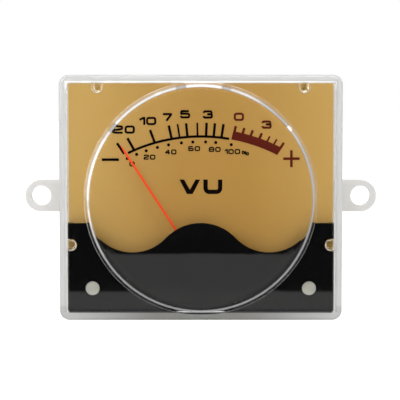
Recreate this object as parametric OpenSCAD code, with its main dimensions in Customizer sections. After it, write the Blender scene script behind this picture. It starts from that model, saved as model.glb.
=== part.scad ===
// Panel meter with a moving-coil movement behind a clear cover with a raised round lens.
// X runs to the right as seen from the front, Y from the front to the back, Z up.
// The origin is on the lens axis, in the rectangular front face. The pointer is at rest.

/* [Case] */
// Width of the case
case_w = 63.4; // [62:0.1:72]
// Height of the case
case_h = 55; // [54.6:0.1:64]
// Radius of the case's four long corners
corner_r = 2.2; // [1.8:0.1:4]
// Radius that softens the front and back rims
rim_r = 0.6; // [0.3:0.1:1]
// Wall of the clear cover's skirt
skirt_t = 1.55; // [1.2:0.05:1.7]
// Thickness of the clear cover's front plate
front_t = 1.8; // [1.4:0.1:2.4]
// Depth of the clear cover, where the rear case begins
split_y = 9; // [8.6:0.1:9.4]
// Outer depth of the closed case
case_depth = 25; // [24.6:0.1:32]
// Wall of the rear case
rear_wall = 1.6; // [1.2:0.1:2]
// Thickness of the rear case's back wall
back_t = 1.6; // [1.2:0.1:2.2]
// Thickness of the tongue that the cover slips over
tongue_t = 1; // [0.8:0.05:1.1]
// Thickness of the flange that carries the tongue
flange_t = 1.4; // [1:0.1:2]

/* [Lens] */
// Strip of the case's front above and below the raised round lens
lens_border = 1.45; // [1.3:0.05:5.5]
// Height of the lens above the front face
lens_rise = 3.6; // [3:0.1:6]
// Wall of the lens, at its side and in front
lens_t = 1.6; // [1.2:0.1:2]
// Radius of the lens's front edge
lens_edge_r = 1.4; // [0.8:0.1:1.6]

/* [Ears] */
// Distance from the case's side to the centre of a mounting hole
ear_out = 4.9; // [4.6:0.1:8]
// Diameter of a mounting hole
ear_hole_d = 4.5; // [3:0.1:5]
// Width of an ear, and of its round end
ear_w = 7.3; // [7:0.1:10]
// Thickness of an ear
ear_t = 2; // [1.5:0.1:3]

/* [Pips of the cover] */
// Radius of a pip's round end
pip_r = 1.15; // [0.9:0.05:1.3]
// Distance from the case's side to a top pip
top_pip_in = 8.5; // [6:0.1:16]
// How far a top pip reaches in from the skirt
top_pip_reach = 2.3; // [1.6:0.1:3]
// Height of the two side pips above the case's bottom
side_pip_up = 16.8; // [14:0.1:18.5]
// How far a side pip reaches in from the skirt
side_pip_reach = 2; // [1.6:0.1:2.4]
// Gap round a side pip in the mask's notch
notch_gap = 0.25; // [0.15:0.05:0.4]

/* [Mask and dial] */
// Gap from the front plate to the mask
mask_gap = 0.6; // [0.3:0.1:0.8]
// Thickness of the mask
mask_t = 1; // [0.8:0.1:1.2]
// Thickness of the mask's turned-back rim
mask_rim_t = 0.8; // [0.6:0.1:1.2]
// Room for the pointer between mask and dial
pointer_room = 3; // [2.8:0.1:3.2]
// Thickness of the dial
dial_t = 1; // [0.8:0.1:1.2]
// Gap between the skirt and what lies inside it
skirt_gap = 0.15; // [0.1:0.05:0.25]
// Corner radius of the dial and the mask
sheet_corner_r = 0.5; // [0.3:0.1:0.8]
// Height of the mask's straight top edges and of its hump above the case's bottom
mask_up = 21.75; // [21.3:0.05:22.3]
// Radius of the mask's hump
hump_r = 10.85; // [10.6:0.05:11.2]
// Radius of the valleys beside the hump
valley_r = 10.3; // [9.6:0.05:10.8]
// Sideways place of the valleys
valley_x = 15.4; // [14.6:0.05:15.6]
// Gap between the dial's opening and the return ring
dial_opening_gap = 0.3; // [0.2:0.05:0.4]

/* [Posts] */
// Distance from the case's side to a post
post_in = 7.3; // [5.8:0.1:9.6]
// Height of the two posts above the case's bottom
post_up = 7; // [5.6:0.1:9.4]
// Diameter of a post behind the dial
post_d = 5; // [4:0.1:6]
// Diameter of the post's pin, which shows in the mask
post_pin_d = 3.1; // [2.4:0.1:3.4]
// Radial gap round the pin in the dial and the mask
post_gap = 0.05; // [0.03:0.01:0.1]
// Wall of the mask's sleeve round the pin
sleeve_t = 1; // [0.7:0.1:1.2]

/* [Pointer] */
// Height of the pointer's axis above the case's bottom
pivot_up = 11.35; // [11.1:0.05:11.6]
// Distance from the axis to the pointer's tip
pointer_l = 33.05; // [26:0.1:34]
// Diameter of the pointer's arm
pointer_d = 0.5; // [0.4:0.05:0.6]
// Length of the pointed tip
pointer_tip_l = 2; // [1:0.1:4]
// Angle of the resting pointer from the vertical
rest_angle = -33.1; // [-33.6:0.1:-32.6]
// Angle at which the coil lies level
mid_angle = 0.9; // [0:0.1:2]
// Distance of the stops from the return ring's rim
stop_out = 1.4; // [1.2:0.05:1.5]
// Angles of the lower and the upper stop pin
stop_low = -40.6; // [-41.5:0.1:-40.2]
stop_high = 42.5; // [42.2:0.1:43.5]
// Diameter of a stop pin
stop_pin_d = 0.7; // [0.5:0.05:0.8]
// Diameter of a stop's soft sleeve
stop_sleeve_d = 1.2; // [1:0.05:1.3]

/* [Magnet system] */
// Diameter of the core magnet
core_d = 10; // [9:0.1:10.2]
// Wall of the return ring
yoke_wall = 1.8; // [1.7:0.05:1.9]
// Gap between the coil's corners and the return ring
coil_room = 0.45; // [0.35:0.05:0.5]
// How far the core stands back from the ring's ends
core_set = 0.2; // [0.1:0.05:0.4]
// Gap from the dial's back to the return ring
yoke_gap = 2.2; // [2.2:0.1:2.4]
// Depth from the movement's seat to the back wall
rear_room = 5.2; // [5.1:0.1:5.6]
// Half angle of the spacers between core and ring
spacer_half = 24; // [16:1:26]
// Thickness of the moulded frame
frame_t = 1.2; // [1:0.1:1.4]
// Distance of the frame's screw lugs from the return ring's rim
lug_out = 2.6; // [2.4:0.1:3.4]
// Diameter of a screw lug, and of the boss behind it
lug_d = 4.4; // [4:0.1:5]

/* [Moving coil] */
// Gap from the core to the coil former, at its sides
coil_gap = 0.35; // [0.3:0.05:0.4]
// Gap from the core to the coil former, at its ends
coil_end_gap = 0.4; // [0.35:0.05:0.45]
// Thickness of the former
former_t = 0.3; // [0.2:0.05:0.35]
// Width of the former
former_w = 3; // [2.6:0.1:3.2]
// Thickness of the winding
winding_t = 0.5; // [0.3:0.05:0.55]
// Width of the winding
winding_w = 2.6; // [2:0.1:2.8]
// Bend radius of the winding's corners
winding_bend = 0.8; // [0.6:0.05:1]
// Diameter of a pivot's staff
staff_d = 0.8; // [0.6:0.05:0.9]
// Diameter of a pivot's foot on the coil
foot_d = 2.6; // [2:0.1:2.8]
// Diameter of the collets
collet_d = 1.6; // [1.3:0.1:1.7]
// Turns of a hairspring
spring_turns = 5; // [3:1:6]
// Thickness of a hairspring's strip
spring_t = 0.12; // [0.06:0.01:0.14]
// Width of a hairspring's strip
spring_w = 0.25; // [0.15:0.01:0.3]
// Outer radius of a hairspring
spring_r = 3; // [2.6:0.1:3.2]

/* [Bridges] */
// Thickness of a bridge
bridge_t = 1; // [0.8:0.05:1.05]
// Diameter of a bridge's middle
bridge_d = 5; // [4.4:0.1:5.4]
// Width of a bridge's arms
bridge_arm_w = 2; // [1.9:0.05:2.2]
// Length of the front pillars
front_pillar_l = 4; // [3.9:0.05:4.1]
// Length of the rear pillars
rear_pillar_l = 2; // [1.9:0.05:2.1]
// Diameter of a jewel screw
jewel_screw_d = 1.8; // [1.6:0.1:2]
// Thickness of a lock nut
locknut_t = 0.7; // [0.5:0.05:0.7]
// Width of a lock nut over its flats
locknut_af = 3.2; // [2.8:0.1:3.4]

/* [Zero setting] */
// Distance from the movement's axis to the adjuster's axis
adjuster_offset = 5.6; // [5.4:0.1:6]
// Throw of the adjuster's pin
adjuster_throw = 1; // [0.6:0.05:1]
// Diameter of the adjuster's shaft
adjuster_d = 2.9; // [2.6:0.1:3.2]
// Running gap round the adjuster's shaft
adjuster_gap = 0.05; // [0.03:0.01:0.08]
// Diameter of the adjuster's slotted head
adjuster_head_d = 4.8; // [4.2:0.1:6]
// Diameter of the adjuster's pin
adjuster_pin_d = 0.9; // [0.7:0.05:1]
// Gap on each side of the pin in the lever's fork
fork_gap = 0.1; // [0.06:0.01:0.15]

/* [Lamp board] */
// Length of the lamp board
board_l = 44; // [40:0.5:50]
// Height of the lamp board
board_h = 8; // [7:0.1:9]
// Thickness of the lamp board
board_t = 1; // [0.8:0.1:1.6]
// Distance from the case's top to the lamp board's middle
board_down = 10.5; // [9:0.1:13]
// Distance between the two lamps
led_pitch = 20; // [14:0.5:26]
// Diameter of a lamp
led_d = 3; // [2.6:0.1:3.4]
// Depth from the lamp board's front to the back wall
board_room = 6.4; // [6:0.1:8]
// Width of the window in the back wall for the plug of the lamps
plug_window_w = 13; // [12:0.5:16]
// Height of the window for the plug
plug_window_h = 5; // [4.8:0.1:6]

/* [Terminals] */
// Distance between the terminals
terminal_pitch = 38; // [30:0.5:42]
// Height of the terminals
terminal_z = 8; // [4:0.1:10]
// Diameter of a terminal's stud
stud_d = 3; // [2.5:0.1:3.2]
// Length of a stud behind the back wall
stud_l = 6.5; // [5.5:0.1:9]
// Width of the terminal nuts over their flats
nut_af = 5.5; // [5:0.1:6]
// Thickness of a terminal nut
nut_t = 2.4; // [2:0.1:2.6]

/* [Hidden] */
$fn = 48;
eps = 0.01;

// Depth stack, front to back
mask_y = front_t + mask_gap;
mask_back = mask_y + mask_t;
dial_y = mask_back + pointer_room;
dial_back = dial_y + dial_t;
pointer_y = mask_back + pointer_room / 2;
back_in = case_depth - back_t;

// Outlines inside the skirt
skirt_in_w = case_w - 2 * skirt_t;
skirt_in_h = case_h - 2 * skirt_t;
sheet_w = skirt_in_w - 2 * skirt_gap;
sheet_h = skirt_in_h - 2 * skirt_gap;
skirt_in_r = max(corner_r - skirt_t, 0.4);
skirt_root_r = min(0.3, skirt_in_r / 2);

// Places that keep their distance from the case's bottom, top and sides
bottom_z = -case_h / 2;
mask_top_z = bottom_z + mask_up;
side_pip_z = bottom_z + side_pip_up;
post_z = bottom_z + post_up;
pivot_z = bottom_z + pivot_up;
board_z = case_h / 2 - board_down;
post_x = case_w / 2 - post_in;
top_pip_x = case_w / 2 - top_pip_in;
ear_pitch = case_w + 2 * ear_out;

// Lens
lens_r = case_h / 2 - lens_border;
lens_in_edge_r = 0.2;

// Mask's wave: each valley's arc meets the hump's arc where the two are tangent
wave_sum = hump_r + valley_r;
hump_z = mask_top_z - hump_r;
valley_z = hump_z + sqrt(wave_sum * wave_sum - valley_x * valley_x);
meet_z = hump_z + (valley_z - hump_z) * hump_r / wave_sum;

// Magnet system: the return ring fills the depth that the movement has
yoke_bore = core_d + 2 * (coil_gap + former_t + winding_t + coil_room);
yoke_d = yoke_bore + 2 * yoke_wall;
yoke_y0 = dial_back + yoke_gap;
seat_y = back_in - rear_room;
yoke_y1 = seat_y - frame_t;
core_y0 = yoke_y0 + core_set;
core_y1 = yoke_y1 - core_set;
lug_x = yoke_d / 2 + lug_out;
dial_opening_d = yoke_d + 2 * dial_opening_gap;
stop_radius = yoke_d / 2 + stop_out;
stop_stand = 0.5;
sleeve_set = 0.1;
sleeve_foot = 0.4;
frame_clear = 0.1;
lip_reach = 1;
pillar_d = (yoke_d - yoke_bore) / 2;
pillar_x = (yoke_d + yoke_bore) / 4;

// Moving coil, the former's inner and outer faces and the winding's outer face
former_in_x = core_d / 2 + coil_gap;
former_y0 = core_y0 - coil_end_gap - former_t;
former_y1 = core_y1 + coil_end_gap + former_t;
coil_y0 = former_y0 - winding_t;
coil_y1 = former_y1 + winding_t;
coil_angle = rest_angle - mid_angle;
foot_t = 0.3;
hub_t = 0.4;
arm_y = coil_y0 - foot_t - hub_t / 2;

// Pointer's foot and balance
hub_r = 1.2;
crank_start = 5;
crank_end = 7.4;
arm_d = 0.3;
tail_l = 5.2;
side_arm_l = 4.8;
weight_d = 0.8;
weight_l = 1.1;
weight_back = 0.2;
tail_weight_d = 2;
tail_weight_t = 0.95;
tail_weight_z = 4.6;
tail_weight_back = 0.4;

// Bridges
bridge_y1 = yoke_y0 - front_pillar_l;
bridge_y0 = bridge_y1 - bridge_t;
rear_bridge_y0 = seat_y + rear_pillar_l;
rear_bridge_y1 = rear_bridge_y0 + bridge_t;
small_screw_d = 1;
small_head_t = 0.7;
small_head_d = 1.8;
small_screw_bite = 2;
screw_stick_out = 0.1;
hole_over = 0.1;
pin_recess = 0.1;

// Jewels and pivots: the jewel fills the screw's end, the pivot's point stands in its cup
jewel_d = 1.2;
jewel_t = 0.7;
cup_depth = 0.5;
cup_mouth_d = 0.76;
cup_floor_d = 0.12;
point_depth = 0.45;
point_mouth_d = 0.36;
point_tip_d = 0.06;
point_root = 0.2;
front_screw_reach = 1.35;
rear_screw_reach = 0.95;
jewel_slot_w = 0.35;
front_cup_y = bridge_y1 + front_screw_reach;
rear_cup_y = rear_bridge_y0 - rear_screw_reach;

// Hairsprings, collets and their outer ends
collet_t = 0.5;
front_collet_gap = 0.2;
rear_collet_gap = 0.15;
front_collet_y = arm_y - hub_t / 2 - front_collet_gap - collet_t;
rear_collet_y = coil_y1 + foot_t + rear_collet_gap;
spring_steps = 20;
tab_t = 0.3;
tab_w = 0.8;
ring_t = 0.4;
ring_d = 4;
regulator_gap = 0.2;
regulator_y = rear_bridge_y0 - regulator_gap - ring_t;

// Zero setting
adjuster_z = pivot_z + adjuster_offset;
fork_w = 2.6;
fork_web = 1;
adjuster_head_t = 1;
adjuster_flange_t = 0.4;
adjuster_flange_reach = 0.3;
adjuster_end_gap = 0.1;
adjuster_pin_over = 0.2;

// Lamp board
board_y = back_in - board_room;
lamp_screw_in = 4;
lamp_screw_x = board_l / 2 - lamp_screw_in;
lamp_pin_w = 0.64;
plug_window_r = 0.6;
lamp_pin_pitch = 2.54;
lamp_pin_out = 4;
lamp_pin_front = 0.6;
m2_d = 2;
m2_head_d = 3.6;
m2_head_t = 1.2;
m2_bite = 3.4;
m2_slot_w = 0.5;

// Terminals
eyelet_t = 0.5;
stud_head_t = 1.8;
washer_t = 0.5;
washer_d = 6.4;
tag_t = 0.4;
tag_l = 6;
tag_w = 2.4;
inner_tag_l = 4;
inner_tag_w = 1.8;
stud_gap = 0.1;

// Inner wires: they drop from the tags, pass beside the ring and reach the pillars
wire_d = 0.6;
wire_drop = 4;
wire_out = 3.6;
wire_rise = 5;
wire_set = 1;
wire_side_angle = 20;

// --- Building blocks -------------------------------------------------------

// Extrudes an outline drawn in X and Z from depth y0 to depth y1
module slab(y0, y1) {
    translate([0, y1, 0]) rotate([90, 0, 0]) linear_extrude(y1 - y0) children();
}

// A round bar along Y from depth y0 to depth y1
module bar(d, y0, y1) {
    translate([0, y0, 0]) rotate([-90, 0, 0]) cylinder(d = d, h = y1 - y0);
}

// A cone along Y from diameter d0 at depth y0 to diameter d1 at depth y1
module taper(d0, d1, y0, y1) {
    translate([0, y0, 0]) rotate([-90, 0, 0]) cylinder(d1 = d0, d2 = d1, h = y1 - y0);
}

// A hexagonal bar along Y, af wide over its flats
module hex_bar(af, y0, y1) {
    translate([0, y0, 0]) rotate([-90, 0, 0]) cylinder(d = af / cos(30), h = y1 - y0, $fn = 6);
}

// A round rod between two points
module rod(p, q, d) {
    v = q - p;
    translate(p)
        rotate([0, acos(v.z / norm(v)), atan2(v.y, v.x)])
            cylinder(d = d, h = norm(v));
}

// Rods along a list of points, with a ball a little wider than the rod at each bend
module bent_rod(points, d) {
    for (i = [1 : len(points) - 1]) rod(points[i - 1], points[i], d);
    for (i = [1 : len(points) - 2]) translate(points[i]) sphere(d = d * 1.06);
}

// A wire along a list of points: eight-sided rods that run a little past each bend
module wire(points, d) {
    last = len(points) - 1;
    for (i = [1 : last]) {
        way = (points[i] - points[i - 1]) / norm(points[i] - points[i - 1]);
        before = i > 1 ? d / 4 : 0;
        after = i < last ? d / 4 : 0;
        rod(points[i - 1] - before * way, points[i] + after * way, d, $fn = 8);
    }
}

// A rectangle with round corners, centred on the origin
module round_rect(w, h, r) {
    square([w - 2 * r, h], center = true);
    square([w, h - 2 * r], center = true);
    for (sx = [-1, 1], sz = [-1, 1])
        translate([sx * (w / 2 - r), sz * (h / 2 - r)]) circle(r);
}

// A box with round long corners and one softened rim, which lies at depth 0, and depth d
module soft_box(w, h, d, r, e) {
    slab(e, d) round_rect(w, h, r);
    slab(0, e + eps) round_rect(w - 2 * e, h - 2 * e, r - e);
    for (s = [-1, 1]) {
        translate([0, e, s * (h / 2 - e)]) rotate([0, 90, 0])
            cylinder(r = e, h = w - 2 * r, center = true);
        translate([s * (w / 2 - e), e, 0]) cylinder(r = e, h = h - 2 * r, center = true);
    }
    for (sx = [-1, 1], sz = [-1, 1])
        translate([sx * (w / 2 - r), e, sz * (h / 2 - r)]) rotate([90, 0, 0])
            rotate_extrude() translate([r - e, 0]) circle(e);
}

// Puts a copy at x and a mirrored copy at -x
module both_sides(x = 0) {
    for (s = [-1, 1]) mirror([s < 0 ? 1 : 0, 0, 0]) translate([x, 0, 0]) children();
}

// Moves to the pointer's axis and turns by an angle, clockwise as seen from the front
module on_axis(angle = 0) {
    translate([0, 0, pivot_z]) rotate([0, angle, 0]) children();
}

// A pan-head screw along Y: its head's underside is at depth y, its shaft runs to the back
module slotted_screw(d, head_d, head_t, bite, y, slot_w) {
    difference() {
        bar(head_d, y - head_t, y);
        translate([0, y - head_t, 0]) cube([head_d + 1, head_t, slot_w], center = true);
    }
    bar(d, y - eps, y + bite);
}

// --- Case ------------------------------------------------------------------

// Half section of the lens: a disc with a round front edge, which rises along the axis
module lens_section(r, rise, edge) {
    square([r, rise - edge]);
    square([r - edge, rise]);
    translate([r - edge, rise - edge]) circle(edge);
}

module lens_solid(r, rise, edge, base_y) {
    translate([0, base_y, 0]) rotate([90, 0, 0])
        rotate_extrude() intersection() {
            lens_section(r, rise, edge);
            square([r + 1, rise + 1]);
        }
}

module pip_outline(r, reach) {
    translate([0, r - reach]) circle(r);
    translate([-r, r - reach]) square([2 * r, reach - r + skirt_t / 2]);
}

module top_pips() {
    slab(front_t - eps, dial_y)
        both_sides(top_pip_x) translate([0, skirt_in_h / 2]) pip_outline(pip_r, top_pip_reach);
}

module side_pip_outlines(r, reach) {
    both_sides(skirt_in_w / 2) translate([0, side_pip_z]) rotate(-90) pip_outline(r, reach);
}

module front_cover() {
    color("gainsboro", 0.35) {
        difference() {
            union() {
                soft_box(case_w, case_h, split_y, corner_r, rim_r);
                lens_solid(lens_r, lens_rise + eps, lens_edge_r, eps);
            }
            translate([0, front_t, 0])
                soft_box(skirt_in_w, skirt_in_h, split_y, skirt_in_r, skirt_root_r);
            lens_solid(lens_r - lens_t, lens_rise - lens_t + front_t + eps, lens_in_edge_r,
                       front_t + eps);
        }
        top_pips();
        slab(front_t - eps, dial_y) side_pip_outlines(pip_r, side_pip_reach);
    }
}

module post() {
    bar(post_d, dial_back, back_in + eps);
    bar(post_pin_d, mask_y + pin_recess, dial_back + eps);
}

module boss(d, bore, y, bite) {
    difference() {
        bar(d, y, back_in + eps);
        bar(bore, y - eps, y + bite + hole_over);
    }
}

module ears() {
    slab(split_y, split_y + ear_t) {
        difference() {
            both_sides(ear_pitch / 2) {
                circle(d = ear_w);
                translate([-ear_out - rear_wall / 2, -ear_w / 2])
                    square([ear_out + rear_wall / 2, ear_w]);
            }
            both_sides(ear_pitch / 2) circle(d = ear_hole_d);
        }
    }
}

module case_shell() {
    shell_d = case_depth - split_y;
    difference() {
        translate([0, case_depth, 0]) mirror([0, 1, 0])
            soft_box(case_w, case_h, shell_d, corner_r, rim_r);
        slab(split_y + flange_t, back_in)
            round_rect(case_w - 2 * rear_wall, case_h - 2 * rear_wall, skirt_in_r);
        slab(split_y - eps, split_y + flange_t + eps)
            round_rect(sheet_w - 2 * tongue_t, sheet_h - 2 * tongue_t, sheet_corner_r);
    }
    slab(dial_back, split_y + eps) difference() {
        round_rect(sheet_w, sheet_h, sheet_corner_r);
        round_rect(sheet_w - 2 * tongue_t, sheet_h - 2 * tongue_t, sheet_corner_r);
    }
}

module rear_case() {
    color("ivory") {
        difference() {
            union() {
                case_shell();
                ears();
            }
            both_sides(terminal_pitch / 2) translate([0, 0, terminal_z])
                bar(stud_d + 2 * stud_gap, back_in - 1, case_depth + 1);
            translate([0, 0, adjuster_z])
                bar(adjuster_d + 2 * adjuster_gap, back_in - 1, case_depth + 1);
            slab(back_in - 1, case_depth + 1) translate([0, board_z])
                round_rect(plug_window_w, plug_window_h, plug_window_r);
        }
        both_sides(post_x) translate([0, 0, post_z]) post();
        both_sides(lug_x) on_axis() boss(lug_d, m2_d, seat_y, m2_bite);
        both_sides(lamp_screw_x) translate([0, 0, board_z])
            boss(lug_d, m2_d, board_y + board_t, m2_bite);
    }
}

module stop_places() {
    for (a = [stop_low, stop_high]) on_axis(a) translate([0, 0, stop_radius]) children();
}

module dial_plate() {
    color("goldenrod") difference() {
        slab(dial_y, dial_back) difference() {
            round_rect(sheet_w, sheet_h, sheet_corner_r);
            translate([0, pivot_z]) circle(d = dial_opening_d);
            both_sides(post_x) translate([0, post_z]) circle(d = post_pin_d + 2 * post_gap);
        }
        stop_places() bar(stop_pin_d, dial_y - 1, dial_back + 1);
    }
}

// The mask's outline: a sheet up to the straight top edges, less the window with its hump
module mask_outline() {
    difference() {
        intersection() {
            round_rect(sheet_w, sheet_h, sheet_corner_r);
            translate([-case_w / 2, -case_h]) square([case_w, case_h + mask_top_z]);
        }
        difference() {
            union() {
                both_sides(valley_x) translate([0, valley_z]) circle(valley_r, $fn = 96);
                translate([-valley_x, meet_z]) square([2 * valley_x, mask_top_z - meet_z + 1]);
            }
            translate([0, hump_z]) circle(hump_r, $fn = 96);
        }
    }
}

module mask_rim_outline() {
    difference() {
        mask_outline();
        translate([0, mask_rim_t])
            square([sheet_w - 2 * mask_rim_t, sheet_h], center = true);
    }
}

module black_mask() {
    color("black") {
        difference() {
            union() {
                slab(mask_y, mask_back) mask_outline();
                slab(mask_back - eps, dial_y) mask_rim_outline();
                both_sides(post_x) translate([0, 0, post_z])
                    bar(post_pin_d + 2 * (post_gap + sleeve_t), mask_back - eps, dial_y);
            }
            both_sides(post_x) translate([0, 0, post_z])
                bar(post_pin_d + 2 * post_gap, mask_y - 1, dial_y + 1);
            slab(mask_y - 1, dial_y + 1)
                side_pip_outlines(pip_r + notch_gap, side_pip_reach + notch_gap);
        }
    }
}

// --- Magnet system and its frame -------------------------------------------

module core_magnet() {
    color("dimgray") on_axis() bar(core_d, core_y0, core_y1);
}

module yoke_ring() {
    color("slategray") on_axis() difference() {
        bar(yoke_d, yoke_y0, yoke_y1);
        bar(yoke_bore, yoke_y0 - 1, yoke_y1 + 1);
        both_sides(pillar_x) bar(small_screw_d, yoke_y0 - 1, yoke_y0 + small_screw_bite);
    }
}

// A wedge of a ring about the vertical, above and below the axis
module ring_wedges(r0, r1, half) {
    reach = r1 / cos(half) + 1;
    intersection() {
        difference() {
            circle(r1);
            circle(r0);
        }
        for (s = [-1, 1])
            polygon([[0, 0], [-reach * sin(half), s * reach * cos(half)],
                     [reach * sin(half), s * reach * cos(half)]]);
    }
}

module movement_frame() {
    bore_r = yoke_bore / 2 + frame_clear;
    color("whitesmoke") on_axis() difference() {
        union() {
            slab(yoke_y1, seat_y) difference() {
                union() {
                    circle(d = yoke_d);
                    square([2 * lug_x, lug_d], center = true);
                    both_sides(lug_x) circle(d = lug_d);
                }
                circle(bore_r);
            }
            slab(core_y0, core_y1 + eps) ring_wedges(core_d / 2, yoke_bore / 2, spacer_half);
            slab(core_y1, yoke_y1 + eps)
                ring_wedges(core_d / 2 - lip_reach, yoke_bore / 2, spacer_half);
            slab(yoke_y1, seat_y)
                ring_wedges(core_d / 2 - lip_reach, bore_r + eps, spacer_half);
        }
        both_sides(lug_x) bar(m2_d, yoke_y1 - 1, seat_y + 1);
        both_sides(pillar_x) bar(small_screw_d, yoke_y1 - 1, seat_y + 1);
    }
}

module movement_screws() {
    color("silver") both_sides(lug_x) on_axis()
        slotted_screw(m2_d, m2_head_d, m2_head_t, frame_t + m2_bite, yoke_y1, m2_slot_w);
}

// --- Bridges and jewels ----------------------------------------------------

module bridge(y0, y1) {
    difference() {
        union() {
            translate([-pillar_x, y0, -bridge_arm_w / 2])
                cube([2 * pillar_x, y1 - y0, bridge_arm_w]);
            both_sides(pillar_x) bar(bridge_arm_w, y0, y1);
            bar(bridge_d, y0, y1);
        }
        bar(jewel_screw_d, y0 - 1, y1 + 1);
        both_sides(pillar_x) bar(small_screw_d, y0 - 1, y1 + 1);
    }
}

module front_bridge() {
    color("gold") on_axis() bridge(bridge_y0, bridge_y1);
}

module rear_bridge() {
    color("gold") on_axis() bridge(rear_bridge_y0, rear_bridge_y1);
}

module pillars(y0, y1) {
    both_sides(pillar_x) difference() {
        bar(pillar_d, y0, y1);
        bar(small_screw_d, y0 - 1, y1 + 1);
    }
}

module front_pillars() {
    color("darkgoldenrod") on_axis() pillars(bridge_y1, yoke_y0);
}

module rear_pillars() {
    color("darkgoldenrod") on_axis() pillars(seat_y, rear_bridge_y0);
}

module bridge_screws() {
    slot_w = 0.3;
    color("silver") on_axis() both_sides(pillar_x) {
        slotted_screw(small_screw_d, small_head_d, small_head_t,
                      bridge_t + front_pillar_l + small_screw_bite - hole_over,
                      bridge_y0, slot_w);
        translate([0, 2 * rear_bridge_y1, 0]) mirror([0, 1, 0])
            slotted_screw(small_screw_d, small_head_d, small_head_t,
                          bridge_t + rear_pillar_l + frame_t, rear_bridge_y1, slot_w);
    }
}

// A threaded rod with a slot in its outer end and a seat for the jewel in its inner end
module jewel_screw(outer_y, cup_y) {
    away = outer_y < cup_y ? 1 : -1;
    seat = cup_y - away * jewel_t;
    difference() {
        bar(jewel_screw_d, min(outer_y, cup_y), max(outer_y, cup_y));
        bar(jewel_d, min(seat, cup_y + away), max(seat, cup_y + away));
        translate([0, outer_y, 0]) cube([jewel_screw_d + 1, 1, jewel_slot_w], center = true);
    }
}

// A jewel whose cup opens at depth cup_y, towards the back for away = 1
module jewel(cup_y, away) {
    inner = cup_y - away * jewel_t;
    floor_y = cup_y - away * cup_depth;
    difference() {
        bar(jewel_d, min(inner, cup_y), max(inner, cup_y));
        if (away > 0) taper(cup_floor_d, cup_mouth_d, floor_y, cup_y + eps);
        else taper(cup_mouth_d, cup_floor_d, cup_y - eps, floor_y);
    }
}

module front_jewel_screw() {
    color("silver") on_axis()
        jewel_screw(bridge_y0 - locknut_t - screw_stick_out, front_cup_y);
}

module rear_jewel_screw() {
    color("silver") on_axis()
        jewel_screw(rear_bridge_y1 + locknut_t + screw_stick_out, rear_cup_y);
}

module front_jewel() {
    color("crimson") on_axis() jewel(front_cup_y, 1);
}

module rear_jewel() {
    color("crimson") on_axis() jewel(rear_cup_y, -1);
}

module locknut(y0) {
    difference() {
        hex_bar(locknut_af, y0, y0 + locknut_t);
        bar(jewel_screw_d, y0 - 1, y0 + locknut_t + 1);
    }
}

module front_locknut() {
    color("gold") on_axis() locknut(bridge_y0 - locknut_t);
}

module rear_locknut() {
    color("gold") on_axis() locknut(rear_bridge_y1);
}

// --- Hairsprings and zero setting ------------------------------------------

// A point of a spiral that ends straight below the axis, at radius r there
function spiral_point(i, turns, r0, r1) =
    let (t = i / (turns * spring_steps),
         r = r0 + (r1 - r0) * t,
         a = -90 - 360 * turns * (1 - t))
    [r * cos(a), r * sin(a)];

module spiral_strip(y0) {
    r0 = collet_d / 2;
    r1 = spring_r;
    n = spring_turns * spring_steps;
    slab(y0, y0 + spring_w) polygon(concat(
        [for (i = [0 : n]) spiral_point(i, spring_turns, r0 + spring_t, r1)],
        [for (i = [n : -1 : 0]) spiral_point(i, spring_turns, r0, r1 - spring_t)]));
}

// The clamp ring, arm and turned-up tab that hold a hairspring's outer end
module spring_arm(ring_y0, tab_y0, tab_y1, bore) {
    slab(ring_y0, ring_y0 + ring_t) difference() {
        union() {
            circle(d = ring_d);
            translate([-tab_w / 2, -spring_r - tab_t]) square([tab_w, spring_r]);
        }
        circle(d = bore);
    }
    translate([-tab_w / 2, tab_y0, -spring_r - tab_t]) cube([tab_w, tab_y1 - tab_y0, tab_t]);
}

module front_abutment() {
    color("gold") on_axis()
        spring_arm(bridge_y1, bridge_y1, front_collet_y + collet_t, jewel_screw_d);
}

module zero_regulator() {
    slot_w = adjuster_pin_d + 2 * fork_gap;
    slot_floor = adjuster_offset + adjuster_throw * cos(45) - adjuster_pin_d;
    fork_end = adjuster_offset + adjuster_throw + adjuster_pin_d;
    color("gold") on_axis() {
        difference() {
            union() {
                spring_arm(regulator_y, rear_collet_y, regulator_y + ring_t,
                           jewel_screw_d + 2 * adjuster_gap);
                slab(regulator_y, regulator_y + ring_t) {
                    translate([-tab_w / 2, (ring_d - ring_t) / 2])
                        square([tab_w, slot_floor - ring_d / 2]);
                    translate([-fork_w / 2, slot_floor - fork_web])
                        square([fork_w, fork_end - slot_floor + fork_web]);
                }
            }
            slab(regulator_y - 1, regulator_y + ring_t + 1)
                translate([-slot_w / 2, slot_floor]) square([slot_w, fork_end]);
        }
    }
}

module zero_adjuster() {
    slot_w = 0.8;
    slot_depth = 0.6;
    head_y = case_depth + adjuster_end_gap;
    flange_y = back_in - adjuster_end_gap - adjuster_flange_t;
    color("ivory") translate([0, 0, adjuster_z]) {
        difference() {
            bar(adjuster_head_d, head_y, head_y + adjuster_head_t);
            translate([-adjuster_head_d / 2 - 1, head_y + adjuster_head_t - slot_depth, -slot_w / 2])
                cube([adjuster_head_d + 2, slot_depth + 1, slot_w]);
        }
        bar(adjuster_d, flange_y + eps, head_y + eps);
        bar(adjuster_d + 2 * adjuster_flange_reach, flange_y, flange_y + adjuster_flange_t);
        translate([0, 0, adjuster_throw])
            bar(adjuster_pin_d, regulator_y - adjuster_pin_over, flange_y + eps);
    }
}

module front_hairspring() {
    color("peru") on_axis() spiral_strip(front_collet_y + (collet_t - spring_w) / 2);
}

module rear_hairspring() {
    color("peru") on_axis() spiral_strip(rear_collet_y + (collet_t - spring_w) / 2);
}

// --- Moving coil -----------------------------------------------------------

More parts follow.
